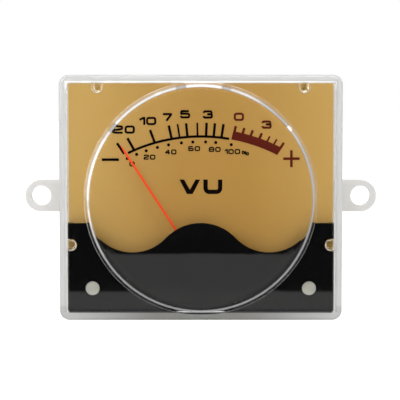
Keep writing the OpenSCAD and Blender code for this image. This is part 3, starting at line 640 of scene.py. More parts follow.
@dataclass(frozen=True)
class ClearFinish(Finish):
    """A clear moulded plastic, which lets the studio's light through to what lies behind.

    With lines, its edges carry painted light: painted grey, with a painted highlight on their
    painted_highlight_side, in patches of patch_mm. It is then seen through plainly where the mask
    plain says, is painted grey at frost, with painted shade where pale is low, has a painted
    reflection of a black edge at mirror, and a painted highlight at root. The wall is what plain
    leaves out of the radius where the lens is highest.
    """

    lines: tuple[PaintedEdgeLight, ...] = ()
    painted_reflection_dashes: tuple[PaintedReflectionDash, ...] = ()
    painted_border_box_mm: Point = (0.0, 0.0)
    wall: Fade = Fade(Measure.DEPTH, -2.5, -2.2, 0.6, 0.0)
    # The side where the edge's painted light turns to a painted highlight, which comes in patches
    painted_highlight_side: Fade = Fade(Measure.LEAN, 0.0, 25.0, 0.0, 1.0)
    patch_mm: float = 5.0
    patch_ends: Point = (0.42, 0.5)
    patch_least: float = 0.6
    plain: Mask = ()
    painted_border_grey: Mask = ()
    pale: Mask = ()
    mirror: Mask = ()
    root: Mask = ()
    # The border's painted shade along the bottom, and its paler painted grey elsewhere
    painted_border_greys: tuple[str, str] = ("#8A8A87", "#C8C9C9")
    # The painted grey of the lens's edges and their painted highlight
    painted_edge_light_colours: tuple[str, str] = ("#A6A6A8", "#F4F4F4")
    # The painted reflection of the black mask in the skirt
    painted_reflection_colour: str = "#363638"

    def _mask(
        self, tree: bpy.types.NodeTree, measures: Measures, mask: Mask, join: str = "MAXIMUM"
    ) -> bpy.types.NodeSocket:
        """Adds the nodes of a mask.

        Args:
            tree: the material's node tree.
            measures: the measures that its fades run along.
            mask: its products of fades.
            join: the operation that joins the products.

        Returns:
            Its strength.
        """
        strength: Any = 0.0
        for product in mask:
            share: Any = 1.0
            for fade in product:
                step = add_node(
                    tree, "ShaderNodeMapRange",
                    {"Value": measures[fade.along], "From Min": fade.start_mm,
                     "From Max": fade.end_mm, "To Min": fade.before, "To Max": fade.after},
                    interpolation_type="SMOOTHSTEP",
                ).outputs[0]
                share = add_node(
                    tree, "ShaderNodeMath", {0: step, 1: share}, operation="MULTIPLY"
                ).outputs[0]
            strength = add_node(
                tree, "ShaderNodeMath", {0: share, 1: strength}, operation=join
            ).outputs[0]
        return strength

    def _measures(self, tree: bpy.types.NodeTree, place: bpy.types.NodeSocket) -> Measures:
        """Adds the nodes that measure a spot of the cover.

        Args:
            tree: the material's node tree.
            place: the spot, in millimetres.

        Returns:
            The measures.
        """
        half_x, half_z = self.painted_border_box_mm
        folded = add_node(tree, "ShaderNodeVectorMath", {0: place}, operation="ABSOLUTE").outputs[0]
        beyond = add_node(
            tree, "ShaderNodeVectorMath", {0: folded, 1: (half_x, 0.0, half_z)},
            operation="SUBTRACT",
        ).outputs[0]
        spot, sides, over = (
            add_node(tree, "ShaderNodeSeparateXYZ", {0: vector}).outputs
            for vector in (place, folded, beyond)
        )
        flat = add_node(tree, "ShaderNodeCombineXYZ", {"X": spot["X"], "Y": spot["Z"]}).outputs[0]
        radius = add_node(
            tree, "ShaderNodeVectorMath", {0: flat}, operation="LENGTH"
        ).outputs["Value"]
        lean = add_node(
            tree, "ShaderNodeMath", {0: spot["Z"], 1: spot["X"]}, operation="SUBTRACT"
        ).outputs[0]
        past = add_node(
            tree, "ShaderNodeMath", {0: over["X"], 1: over["Z"]}, operation="MAXIMUM"
        ).outputs[0]
        brink = add_node(tree, "ShaderNodeMath", {0: past}, operation="ABSOLUTE").outputs[0]
        measures = {
            Measure.DEPTH: spot["Y"], Measure.HEIGHT: spot["Z"], Measure.ASIDE: sides["X"],
            Measure.RADIUS: radius, Measure.PAST: past, Measure.BRINK: brink,
            Measure.LEAN: lean,
        }
        wall = self._mask(tree, measures, ((self.wall,),))
        measures[Measure.BORE] = add_node(
            tree, "ShaderNodeMath", {0: radius, 1: wall}, operation="SUBTRACT"
        ).outputs[0]
        return measures

    def _painted_highlight(
        self, tree: bpy.types.NodeTree, measures: Measures, place: bpy.types.NodeSocket
    ) -> bpy.types.NodeSocket:
        """Adds the nodes for the painted highlight on the lens's edge, and for its dashes of
        painted reflection.

        Args:
            tree: the material's node tree.
            measures: the measures of a spot.
            place: the spot, in millimetres.

        Returns:
            How white the painted light on the edge is.
        """
        noise = add_node(
            tree, "ShaderNodeTexNoise",
            {"Vector": place, "Scale": 1 / self.patch_mm, "Detail": 1.0},
        ).outputs[0]
        patchy = add_node(
            tree, "ShaderNodeMapRange",
            {"Value": noise, "From Min": self.patch_ends[0], "From Max": self.patch_ends[1],
             "To Min": self.patch_least, "To Max": 1.0},
            interpolation_type="SMOOTHSTEP",
        ).outputs[0]
        lit = self._mask(tree, measures, ((self.painted_highlight_side,),))
        white = add_node(
            tree, "ShaderNodeMath", {0: patchy, 1: lit}, operation="MULTIPLY"
        ).outputs[0]
        flat = add_node(
            tree, "ShaderNodeVectorMath", {0: place, 1: (1.0, 0.0, 1.0)}, operation="MULTIPLY"
        ).outputs[0]
        radius = self.lines[0].radius_mm
        for dash in self.painted_reflection_dashes:
            turn = math.radians(dash.angle_deg)
            spot = (radius * math.cos(turn), 0.0, radius * math.sin(turn))
            away = add_node(
                tree, "ShaderNodeVectorMath", {0: flat, 1: spot}, operation="DISTANCE"
            ).outputs["Value"]
            there = add_node(
                tree, "ShaderNodeMapRange",
                {"Value": away, "From Min": dash.half_mm * dash.core, "From Max": dash.half_mm,
                 "To Min": 1.0, "To Max": 0.0},
                interpolation_type="SMOOTHSTEP",
            ).outputs[0]
            white = add_node(tree, "ShaderNodeMix", {0: there, 2: white, 3: dash.shade}).outputs[0]
        return white

    def _edges(
        self, tree: bpy.types.NodeTree, glass: bpy.types.NodeSocket
    ) -> bpy.types.NodeSocket:
        """Lays painted light, shade and reflections for the moulded edges over the clear plastic.

        Args:
            tree: the material's node tree.
            glass: the clear plastic's shader.

        Returns:
            The whole shader.
        """
        place = add_node(tree, "ShaderNodeTexCoord").outputs["Object"]
        place = add_node(
            tree, "ShaderNodeVectorMath", {0: place, "Scale": 1 / MM}, operation="SCALE"
        ).outputs[0]
        measures = self._measures(tree, place)
        plain, painted_border_grey, pale, mirror, root = (
            self._mask(tree, measures, mask)
            for mask in (self.plain, self.painted_border_grey, self.pale, self.mirror, self.root)
        )
        # The edges' painted light, and how much of it is a painted highlight
        glow = self._mask(tree, measures, tuple(line.fades() for line in self.lines), "ADD")
        white = self._painted_highlight(tree, measures, place)
        # The root's painted highlight joins the edges' painted light, at full white
        glow, white = (
            add_node(tree, "ShaderNodeMath", {0: value, 1: root}, operation="MAXIMUM").outputs[0]
            for value in (glow, white)
        )
        through = add_node(tree, "ShaderNodeBsdfTransparent").outputs[0]
        glass = add_node(tree, "ShaderNodeMixShader", {0: plain, 1: glass, 2: through}).outputs[0]
        # Layers of painted colour over the plastic: the border's painted grey and shade, the
        # painted reflection of the black mask, and the edges' painted light and highlight
        for amount, share, colours in (
            (painted_border_grey, pale, self.painted_border_greys), (mirror, 1.0, (self.painted_reflection_colour,) * 2),
            (glow, white, self.painted_edge_light_colours),
        ):
            dark, light = (
                add_node(tree, "ShaderNodeBsdfDiffuse", {"Color": linear(colour)}).outputs[0]
                for colour in colours
            )
            matt = add_node(
                tree, "ShaderNodeMixShader", {0: share, 1: dark, 2: light}
            ).outputs[0]
            glass = add_node(
                tree, "ShaderNodeMixShader", {0: amount, 1: glass, 2: matt}
            ).outputs[0]
        return glass

    def _make(self) -> bpy.types.Material:
        """Builds the material's nodes.

        Returns:
            The new material.
        """
        made = bpy.data.materials.new(self.name)
        made.use_nodes = True
        tree = made.node_tree
        tree.nodes.remove(tree.nodes["Principled BSDF"])
        glass = add_node(
            tree, "ShaderNodeBsdfGlass",
            {"Color": linear(self.colour), "Roughness": self.roughness, "IOR": self.ior},
        ).outputs[0]
        if self.lines:
            glass = self._edges(tree, glass)
        clear = add_node(tree, "ShaderNodeBsdfTransparent", {0: linear(self.colour)}).outputs[0]
        rays = add_node(tree, "ShaderNodeLightPath").outputs
        passing = add_node(
            tree, "ShaderNodeMath", {0: rays["Is Shadow Ray"], 1: rays["Is Diffuse Ray"]},
            operation="MAXIMUM",
        ).outputs[0]
        mixed = add_node(tree, "ShaderNodeMixShader", {0: passing, 1: glass, 2: clear}).outputs[0]
        feed(tree, tree.nodes["Material Output"], {"Surface": mixed})
        return made


# The cover's front face as far back as the skirt's rounded edge, the lens that stands out of
# it, and the lens's upper half
FRONT = Fade(Measure.DEPTH, 0.6, 0.9, 1.0, 0.0)
RAISED = Fade(Measure.DEPTH, -0.3, -0.1, 1.0, 0.0)
UPPER = Fade(Measure.HEIGHT, -6.0, 4.0, 0.0, 1.0)
# Crystal polystyrene, injection moulded in a polished mould: water clear. The brightness of its
# edges, the grey of its border and the marks on them are painted light, shade and reflections
CLEAR_STYRENE = ClearFinish(
    "clear_polystyrene", "#FCFCFB", 0.0, ior=1.55,
    # Circles of painted light on the lens's moulded edge; the second is on its upper half only
    lines=(
        PaintedEdgeLight(25.03, 0.42, 0.85, (RAISED,)), PaintedEdgeLight(25.2, 0.8, 0.4, (RAISED, UPPER)),
        PaintedEdgeLight(25.93, 0.16, 0.45, (RAISED,)),
    ),
    # Stretches of the lens's edge with a painted reflection of a pale or a dark part of the room
    painted_reflection_dashes=(
        PaintedReflectionDash(33.0, 2.2, 0.1), PaintedReflectionDash(38.6, 0.8, 1.0), PaintedReflectionDash(41.7, 0.9, 0.0), PaintedReflectionDash(77.0, 1.3, 0.0),
        PaintedReflectionDash(100.0, 1.4, 0.0), PaintedReflectionDash(141.0, 1.4, 0.0),
    ),
    painted_border_box_mm=(30.15, 25.95),
    plain=((
        Fade(Measure.BORE, 24.05, 24.35, 0.0, 0.97), Fade(Measure.DEPTH, 1.6, 1.7, 1.0, 0.0),
        Fade(Measure.RADIUS, 26.1, 26.3, 1.0, 0.0),
    ),),
    # Painted grey over the front face's border, and over a strip along the bottom of the window
    painted_border_grey=(
        (Fade(Measure.PAST, -0.8, 0.9, 0.0, 0.8), FRONT),
        (Fade(Measure.HEIGHT, -25.8, -25.4, 0.9, 0.0), FRONT),
    ),
    # Where that grey is the paler one: it is painted shade along the bottom, except towards the
    # corners
    pale=(
        (Fade(Measure.HEIGHT, -25.25, -24.05, 0.0, 1.0),),
        (Fade(Measure.ASIDE, 8.0, 30.0, 0.0, 0.7),),
    ),
    # A painted reflection of the black mask's lower edge: a dark strip at the bottom of the window,
    # inside the skirt
    mirror=((
        Fade(Measure.HEIGHT, -25.85, -25.75, 0.0, 0.95), FRONT,
        Fade(Measure.HEIGHT, -25.45, -25.35, 1.0, 0.0), Fade(Measure.ASIDE, 29.45, 29.55, 1.0, 0.0),
    ),),
    # Painted highlights: a white line along the outline of the border, strongest at the top and on
    # the upper left, and white on what stands just behind the front plate inside the skirt
    root=(
        (
            Fade(Measure.BRINK, 0.05, 0.35, 0.9, 0.0), FRONT,
            Fade(Measure.LEAN, -22.0, 6.0, 0.0, 1.0), Fade(Measure.HEIGHT, 23.0, 25.5, 0.22, 1.0),
        ),
        (
            Fade(Measure.DEPTH, 1.81, 1.86, 0.0, 0.5), Fade(Measure.DEPTH, 2.1, 2.5, 1.0, 0.0),
            Fade(Measure.PAST, -0.6, -0.5, 1.0, 0.0),
        ),
    ),
)
# Natural ABS, moulded in a fine-eroded mould: milky, a little translucent, soft shine. The
# mould's pits are under 0.1 mm wide and are drawn coarser, to show
# Its colour is darker up to about 4.5 mm back and paler from about 8.5 mm back: painted shade on
# the posts and the front rim that lie behind the cover
MILKY_ABS = PaintedShadeFinish(
    "milky_moulded_abs", "#A6A498", 0.42, ior=1.53, grain_mm=0.25, tone=0.015, bump_mm=0.003,
    milk_mm=0.6, centre=(0.0, -200.0, 0.0), painted_lit_colour="#D1D0CE", near_mm=204.5, far_mm=208.5,
)
# Amber diffusing styrene sheet, screen printed matt: warm, with a faint mottle a few
# millimetres wide. It is darker round a point a little below the middle and paler towards the
# edges, most of all to the left and right: painted shade in the middle, painted light at the edges
AMBER_SHEET = PaintedShadeFinish(
    "amber_printed_styrene", "#B18539", 0.62, ior=1.5, grain_mm=2.4, tone=0.03, bump_mm=0.002,
    gloss=0.15, centre=(3.0, 6.4, -8.0), painted_lit_colour="#C7A056", near_mm=9.0, far_mm=32.0,
    reach=(1.0, 1.0, 0.36),
)
# Black ABS from a polished mould: deep black that mirrors the room, with the faint clouds of
# the moulding's flow
BLACK_ABS = Finish(
    "black_polished_abs", "#060607", 0.05, ior=1.5, grain_mm=3.0, tone=0.1, spread=0.01,
    bump_mm=0.0, gloss=0.25,
)
# Fluorescent enamel sprayed on the pointer: a saturated orange red, half matt, with the
# spray's droplets drawn coarser, to show
POINTER_ENAMEL = Finish("fluorescent_enamel", "#F9481A", 0.5, grain_mm=0.3, tone=0.04, gloss=0.1)
# Screen ink, matt black and dark red, a hair thick, with the screen's mesh of about 0.1 mm
BLACK_INK = Finish("black_screen_ink", "#0D0604", 0.6, grain_mm=0.12, tone=0.3, gloss=0.0)
RED_INK = Finish("red_screen_ink", "#5D2017", 0.6, grain_mm=0.12, tone=0.08, gloss=0.0)
# The grain of the metals and small parts below is finer than a render shows, so it is drawn
# coarser
# Zinc-plated soft iron, drawn tube: cool grey with lengthwise lines
ZINC_IRON = Finish(
    "zinc_plated_iron", "#A9ADB0", 0.32, metallic=1.0, grain=Grain.BRUSHED, grain_mm=0.08,
)
# Sintered magnet, ground: dark grey and dry
SINTERED = Finish("sintered_magnet", "#4A4A4C", 0.5, metallic=0.6, grain_mm=0.15, tone=0.12)
# Natural nylon, moulded: off-white and waxy
NYLON = Finish("moulded_nylon", "#E4E1D6", 0.45, grain_mm=0.3, milk_mm=0.4)
# Nickel-plated steel screws, turned heads: bright with fine rings
NICKEL_STEEL = Finish(
    "nickel_plated_steel", "#C9C7C1", 0.22, metallic=1.0, grain=Grain.TURNED, grain_mm=0.1,
)
# Stamped brass sheet, tumbled: warm yellow, softly scratched
STAMPED_BRASS = Finish("stamped_brass", "#C9A45A", 0.3, metallic=1.0, grain_mm=0.2, tone=0.08)
# Turned brass studs and nuts: yellow, with rings from the lathe
TURNED_BRASS = Finish(
    "turned_brass", "#D2AE63", 0.24, metallic=1.0, grain=Grain.TURNED, grain_mm=0.12, tone=0.07,
)
# Tin on brass tags: pale and slightly dull
TINNED_BRASS = Finish("tinned_brass", "#C4C2BA", 0.34, metallic=1.0, grain_mm=0.25, tone=0.06)
# Ruby-red glass jewel, polished cup
JEWEL = Finish("polished_jewel", "#8C1226", 0.06, ior=1.76, grain_mm=0.5, bump_mm=0.0)
# Drawn aluminium foil of the coil former: pale and satin
ALUMINIUM_FOIL = Finish(
    "drawn_aluminium", "#D6D8DA", 0.3, metallic=1.0, grain=Grain.BRUSHED, grain_mm=0.06,
)
# Lacquered copper wire, wound side by side: orange brown with one line for each turn
WOUND_COPPER = Finish(
    "lacquered_copper_wire", "#B4622C", 0.3, metallic=0.8, grain=Grain.WOUND, grain_mm=0.16,
    tone=0.2, bump_mm=0.03, coat=0.6,
)
# Hardened steel of pivots and stop pins, polished
POLISHED_STEEL = Finish("polished_steel", "#BFC2C6", 0.12, metallic=1.0, grain_mm=0.1)
# Rolled bronze strip of the hairsprings and the balance cross
BRONZE = Finish("rolled_bronze", "#B98A55", 0.26, metallic=1.0, grain_mm=0.08)
# Soft silicone sleeve: pale and matt
SILICONE = Finish("silicone_sleeve", "#DEDCD4", 0.6, grain_mm=0.2, milk_mm=0.3, sheen=0.2)
# Glass-fibre board with green solder mask: the weave shows through the gloss
SOLDER_MASK = Finish(
    "green_solder_mask", "#1E5A33", 0.25, grain=Grain.WOVEN, grain_mm=0.5, tone=0.12,
    bump_mm=0.006, coat=0.4,
)
# Clear epoxy of the lamps, cast
CLEAR_EPOXY = ClearFinish("clear_epoxy", "#F6F5E6", 0.05, ior=1.54)
# Lacquered resistor body: tan and glossy
TAN_LACQUER = Finish("tan_lacquer", "#C8A878", 0.28, grain_mm=0.4, coat=0.5)
# Gold flash on square pins
GOLD_FLASH = Finish("gold_flashed_pin", "#D8B25C", 0.2, metallic=1.0, grain_mm=0.2)
# PVC wire cover, black
WIRE_COVER = Finish("black_pvc_cover", "#1B1718", 0.4, grain_mm=0.4)

NODE_FINISHES: dict[str, Finish] = {
    "rear_case": MILKY_ABS, "zero_adjuster": MILKY_ABS, "dial_plate": AMBER_SHEET,
    "black_mask": BLACK_ABS, "pointer": POINTER_ENAMEL, "core_magnet": SINTERED,
    "yoke_ring": ZINC_IRON, "movement_frame": NYLON, "movement_screws": NICKEL_STEEL,
    "front_bridge": STAMPED_BRASS, "rear_bridge": STAMPED_BRASS,
    "front_pillars": TURNED_BRASS, "rear_pillars": TURNED_BRASS,
    "bridge_screws": NICKEL_STEEL, "front_jewel_screw": NICKEL_STEEL,
    "rear_jewel_screw": NICKEL_STEEL, "front_jewel": JEWEL, "rear_jewel": JEWEL,
    "front_locknut": TURNED_BRASS, "rear_locknut": TURNED_BRASS,
    "front_abutment": STAMPED_BRASS, "zero_regulator": STAMPED_BRASS,
    "coil_former": ALUMINIUM_FOIL, "coil_winding": WOUND_COPPER,
    "front_pivot": POLISHED_STEEL, "rear_pivot": POLISHED_STEEL,
    "front_collet": TURNED_BRASS, "rear_collet": TURNED_BRASS,
    "front_hairspring": BRONZE, "rear_hairspring": BRONZE,
    "balance_cross": BRONZE, "balance_weights": TURNED_BRASS,
    "stop_pins": POLISHED_STEEL, "stop_sleeves": SILICONE, "lamp_board": SOLDER_MASK,
    "lamp_leds": CLEAR_EPOXY, "lamp_resistor": TAN_LACQUER, "lamp_pins": GOLD_FLASH,
    "lamp_screws": NICKEL_STEEL, "terminal_studs": TURNED_BRASS,
    "terminal_washers": NICKEL_STEEL, "solder_tags": TINNED_BRASS,
    "terminal_nuts": TURNED_BRASS, "lead_wires": WIRE_COVER, "front_cover": CLEAR_STYRENE,
}


def dress_nodes(nodes: dict[str, bpy.types.Object]) -> None:
    """Gives each node of the frame its finish.

    Args:
        nodes: the nodes' objects by name.
    """
    for name, obj in nodes.items():
        made = NODE_FINISHES[name].material()
        for place in obj.material_slots:
            place.material = made
        if not obj.material_slots:
            obj.data.materials.append(made)


# --- Clear cover -------------------------------------------------------------


@dataclass(frozen=True)
class ClearCover:
    """The clear cover: front plate, skirt, raised round lens and four locating pips.

    Lengths are in millimetres. A pip has a share of its own outline at each depth of pip_steps.
    """

    width: float = 63.4
    height: float = 55.0
    corner: float = 2.2
    rim: float = 0.6
    skirt: float = 1.55
    front: float = 1.8
    depth: float = 9.0
    lens_r: float = 26.05
    lens_rise: float = 3.6
    lens_wall: float = 1.6
    lens_edge: float = 1.4
    lens_crown: float = 0.33
    lens_inner_edge: float = 0.2
    root: float = 0.28
    pip_r: float = 1.06
    pip_steps: tuple[Point, ...] = (
        (1.75, 1.22), (1.86, 1.14), (2.0, 1.08), (2.2, 1.03), (2.5, 1.0), (5.9, 0.94), (6.1, 0.91),
        (6.25, 0.84), (6.34, 0.76), (6.4, 0.62),
    )
    top_pip_x: float = 23.2
    top_pip_reach: float = 2.3
    side_pip_z: float = -10.7
    side_pip_reach: float = 2.0
    facets: int = 128
    dome_rings: tuple[float, ...] = (0.9, 0.8, 0.65, 0.5, 0.35, 0.2, 0.08)
    pip_facets: int = 16
    smooth: float = 32.0

    def _crown(self, r: float) -> float:
        """Gives how far the domed lens falls back at a radius."""
        return self.lens_crown * (r / self.lens_r) ** 2

    def _dome(self, shape: Shape, rim: set[bmesh.types.BMEdge], r: float, top: float) -> None:
        """Closes a round rim with a faint dome.

        Args:
            shape: the mesh that has the rim.
            rim: the rim's edges.
            r: the rim's radius.
            top: the depth of the dome's middle.
        """
        for share in self.dome_rings:
            ring = shape.circle(r * share, top + self._crown(r * share), self.facets)
            shape.bridge(rim, ring)
            rim = ring
        shape.fill(rim)

    def _shell(self) -> bpy.types.Object:
        """Builds plate, skirt and lens as one closed wall.

        Returns:
            The new object.
        """
        shape = Shape()
        cuts = self.facets // 4 - CORNER_FACETS - 1
        inner_w, inner_h = self.width - 2 * self.skirt, self.height - 2 * self.skirt
        inner_corner = self.corner - self.skirt
        back = shape.rectangle(self.width, self.height, self.depth, self.corner, cuts)
        inner_back = shape.rectangle(inner_w, inner_h, self.depth, inner_corner, cuts)
        shape.bridge(back, inner_back)
        rim = shape.pull(back, -self.depth)
        base = shape.circle(self.lens_r, 0, self.facets)
        shape.bridge(rim, base)
        lens_rim = shape.pull(base, self._crown(self.lens_r) - self.lens_rise)
        self._dome(shape, lens_rim, self.lens_r, -self.lens_rise)
        inner_front = shape.rectangle(inner_w, inner_h, self.front, inner_corner, cuts)
        inner_r = self.lens_r - self.lens_wall
        mouth = shape.circle(inner_r, self.front, self.facets)
        shape.bridge(inner_front, mouth)
        shape.bridge(inner_front, inner_back)
        floor = self.lens_wall - self.lens_rise
        lens_floor = shape.pull(mouth, floor + self._crown(inner_r) - self.front)
        self._dome(shape, lens_floor, inner_r, floor)
        for edges, rounding, segments in (
            (rim, self.rim, 5), (lens_rim, self.lens_edge, 8),
            (lens_floor, self.lens_inner_edge, 4), (inner_front, self.root, 4),
        ):
            shape.soften(edges, rounding, segments)
        return shape.piece("clear_cover", Body.CASE, CLEAR_STYRENE, COVER_SLOT, self.smooth)

    def _pip(self, shape: Shape, x: float, z: float, turn: float, reach: float) -> None:
        """Adds a half-round pip whose root lies in the skirt at a point.

        Args:
            shape: the mesh that takes it.
            x: the root's place.
            z: the root's height.
            turn: the way it points, in degrees clockwise from straight down.
            reach: how far it stands out.
        """
        begin = set(shape.bm.verts)
        r, root = self.pip_r, self.skirt / 2
        pen = shape.pen(-r, root, self.front / 2)
        pen.line(-r, r - reach).arc(0, r - reach, -180, self.pip_facets).line(r, root).close()
        outline = {e for v in shape.bm.verts if v not in begin for e in v.link_edges}
        shape.fill(outline)
        middle = Matrix.Translation((0, 0, reach - r))
        depth, last = self.front / 2, 1.0
        for to, share in self.pip_steps:
            outline = shape.pull(outline, to - depth)
            grow = share / last
            verts = list({v for e in outline for v in e.verts})
            bmesh.ops.scale(shape.bm, vec=(grow, 1.0, grow), verts=verts, space=middle)
            depth, last = to, share
        shape.fill(outline)
        place = Matrix.Translation((x, 0, z)) @ Matrix.Rotation(math.radians(turn), 4, "Y")
        fresh = [v for v in shape.bm.verts if v not in begin]
        bmesh.ops.transform(shape.bm, matrix=place, verts=fresh)

    def build(self) -> bpy.types.Object:
        """Builds the cover with its pips united to it.

        Returns:
            The cover.
        """
        shell = self._shell()
        pips = Shape()
        top, side = self.height / 2 - self.skirt, self.width / 2 - self.skirt
        for s in (-1, 1):
            self._pip(pips, s * self.top_pip_x, top, 0, self.top_pip_reach)
            self._pip(pips, s * side, self.side_pip_z, s * 90, self.side_pip_reach)
        tool = pips.piece("cover_pips", Body.CASE, CLEAR_STYRENE, COVER_SLOT, self.smooth)
        union = shell.modifiers.new("pips", "BOOLEAN")
        union.operation, union.solver, union.object = "UNION", "EXACT", tool
        settle(shell)
        bpy.data.objects.remove(tool)
        shell.data.set_sharp_from_angle(angle=math.radians(self.smooth))
        flat = shell.modifiers.new("flat_faces", "WEIGHTED_NORMAL")
        flat.keep_sharp = True
        settle(shell)
        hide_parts("front_cover")
        return shell


# --- Print on the dial -------------------------------------------------------

# Strokes of the squarish figures, in a box one unit wide and high; a closed stroke ends where
# it starts
GLYPHS: dict[str, tuple[tuple[Point, ...], ...]] = {
    "0": (((0, 0), (1, 0), (1, 1), (0, 1), (0, 0)),),
    "1": (((0.02, 0.7), (0.6, 1.06)), ((0.6, 1.16), (0.6, -0.14))),
    "2": (((0.03, 0.74), (0.03, 1), (1, 1), (1, 0.6), (0, 0.36), (0, 0), (1.06, 0)),),
    "3": (((0.02, 0.74), (0.02, 1), (0.96, 1), (0.96, 0.53), (0.42, 0.53)),
          ((0.42, 0.53), (1, 0.53), (1, 0), (0, 0), (0, 0.26))),
    "4": (((0.78, -0.1), (0.78, 1), (0, 0.28), (1.05, 0.28)),),
    "5": (((0.97, 1), (-0.02, 1)), ((0.05, 1.0), (0.02, 0.5)),
          ((-0.04, 0.58), (1, 0.58), (1, 0), (0, 0), (0, 0.26))),
    "6": (((0.92, 1), (0, 1), (0, 0), (1, 0), (1, 0.52), (0, 0.52)),),
    "7": (((-0.06, 1), (1.06, 1)), ((0.98, 1), (0.36, -0.1))),
    "8": (((0, 0), (1, 0), (1, 1), (0, 1), (0, 0)), ((0, 0.52), (1, 0.52))),
    "%": (((0, 0.34), (0.42, 0.34), (0.42, 0.94), (0, 0.94), (0, 0.34)),
          ((0.68, 0.0), (0.74, 1.0)),
          ((1.0, 0), (1.42, 0), (1.42, 0.6), (1.0, 0.6), (1.0, 0))),
}
# Widths of the figures that aren't one unit wide
SPANS: dict[str, float] = {"1": 0.62, "%": 1.42}


@dataclass(frozen=True)
class Label:
    """A number on the dial: its figures and its centre."""

    figures: str
    x: float
    z: float


@dataclass(frozen=True)
class Lettering:
    """A size of the squarish figures, with the width of its strokes.

    A closed stroke is rounded by loop_round of the height, up to loop_most of its shortest side,
    and an open one by bend_round of the height.
    """

    height: float
    width: float
    gap: float
    stroke: float
    loop_round: float = 0.22
    loop_most: float = 0.4
    loop_facets: int = 4
    bend_round: float = 0.16
    bend_facets: int = 3

    def write(self, shape: Shape, label: Label, y: float) -> None:
        """Draws a label's strokes as wires.

        Args:
            shape: the mesh that takes them.
            label: the label.
            y: their depth.
        """
        widths = [self.width * SPANS.get(c, 1.0) for c in label.figures]
        x = label.x - (sum(widths) + self.gap * (len(widths) - 1)) / 2
        box_w, box_h = self.width - self.stroke, self.height - self.stroke
        for mark, width in zip(label.figures, widths):
            left, low = x + self.stroke / 2, label.z - box_h / 2
            for line in GLYPHS[mark]:
                spots = [(left + u * box_w, low + v * box_h) for u, v in line]
                self._stroke(shape, spots, y)
            x += width + self.gap

    def _stroke(self, shape: Shape, spots: Sequence[Point], y: float) -> None:
        """Draws one stroke with rounded corners.

        Args:
            shape: the mesh that takes it.
            spots: its points in X and Z; a closed stroke ends where it starts.
            y: its depth.
        """
        closed = spots[0] == spots[-1]
        if closed:
            side = min(math.dist(a, b) for a, b in zip(spots, spots[1:]))
            radius = min(self.height * self.loop_round, side * self.loop_most)
            shape.loop(spots[:-1], y, radius, self.loop_facets)
            return
        pen = shape.pen(*spots[0], y)
        corners = []
        for spot in spots[1:]:
            pen.line(*spot)
            corners.append(pen.tip)
        if len(corners) > 1:
            radius = self.height * self.bend_round
            round_corners(shape.bm, corners[:-1], radius, self.bend_facets)


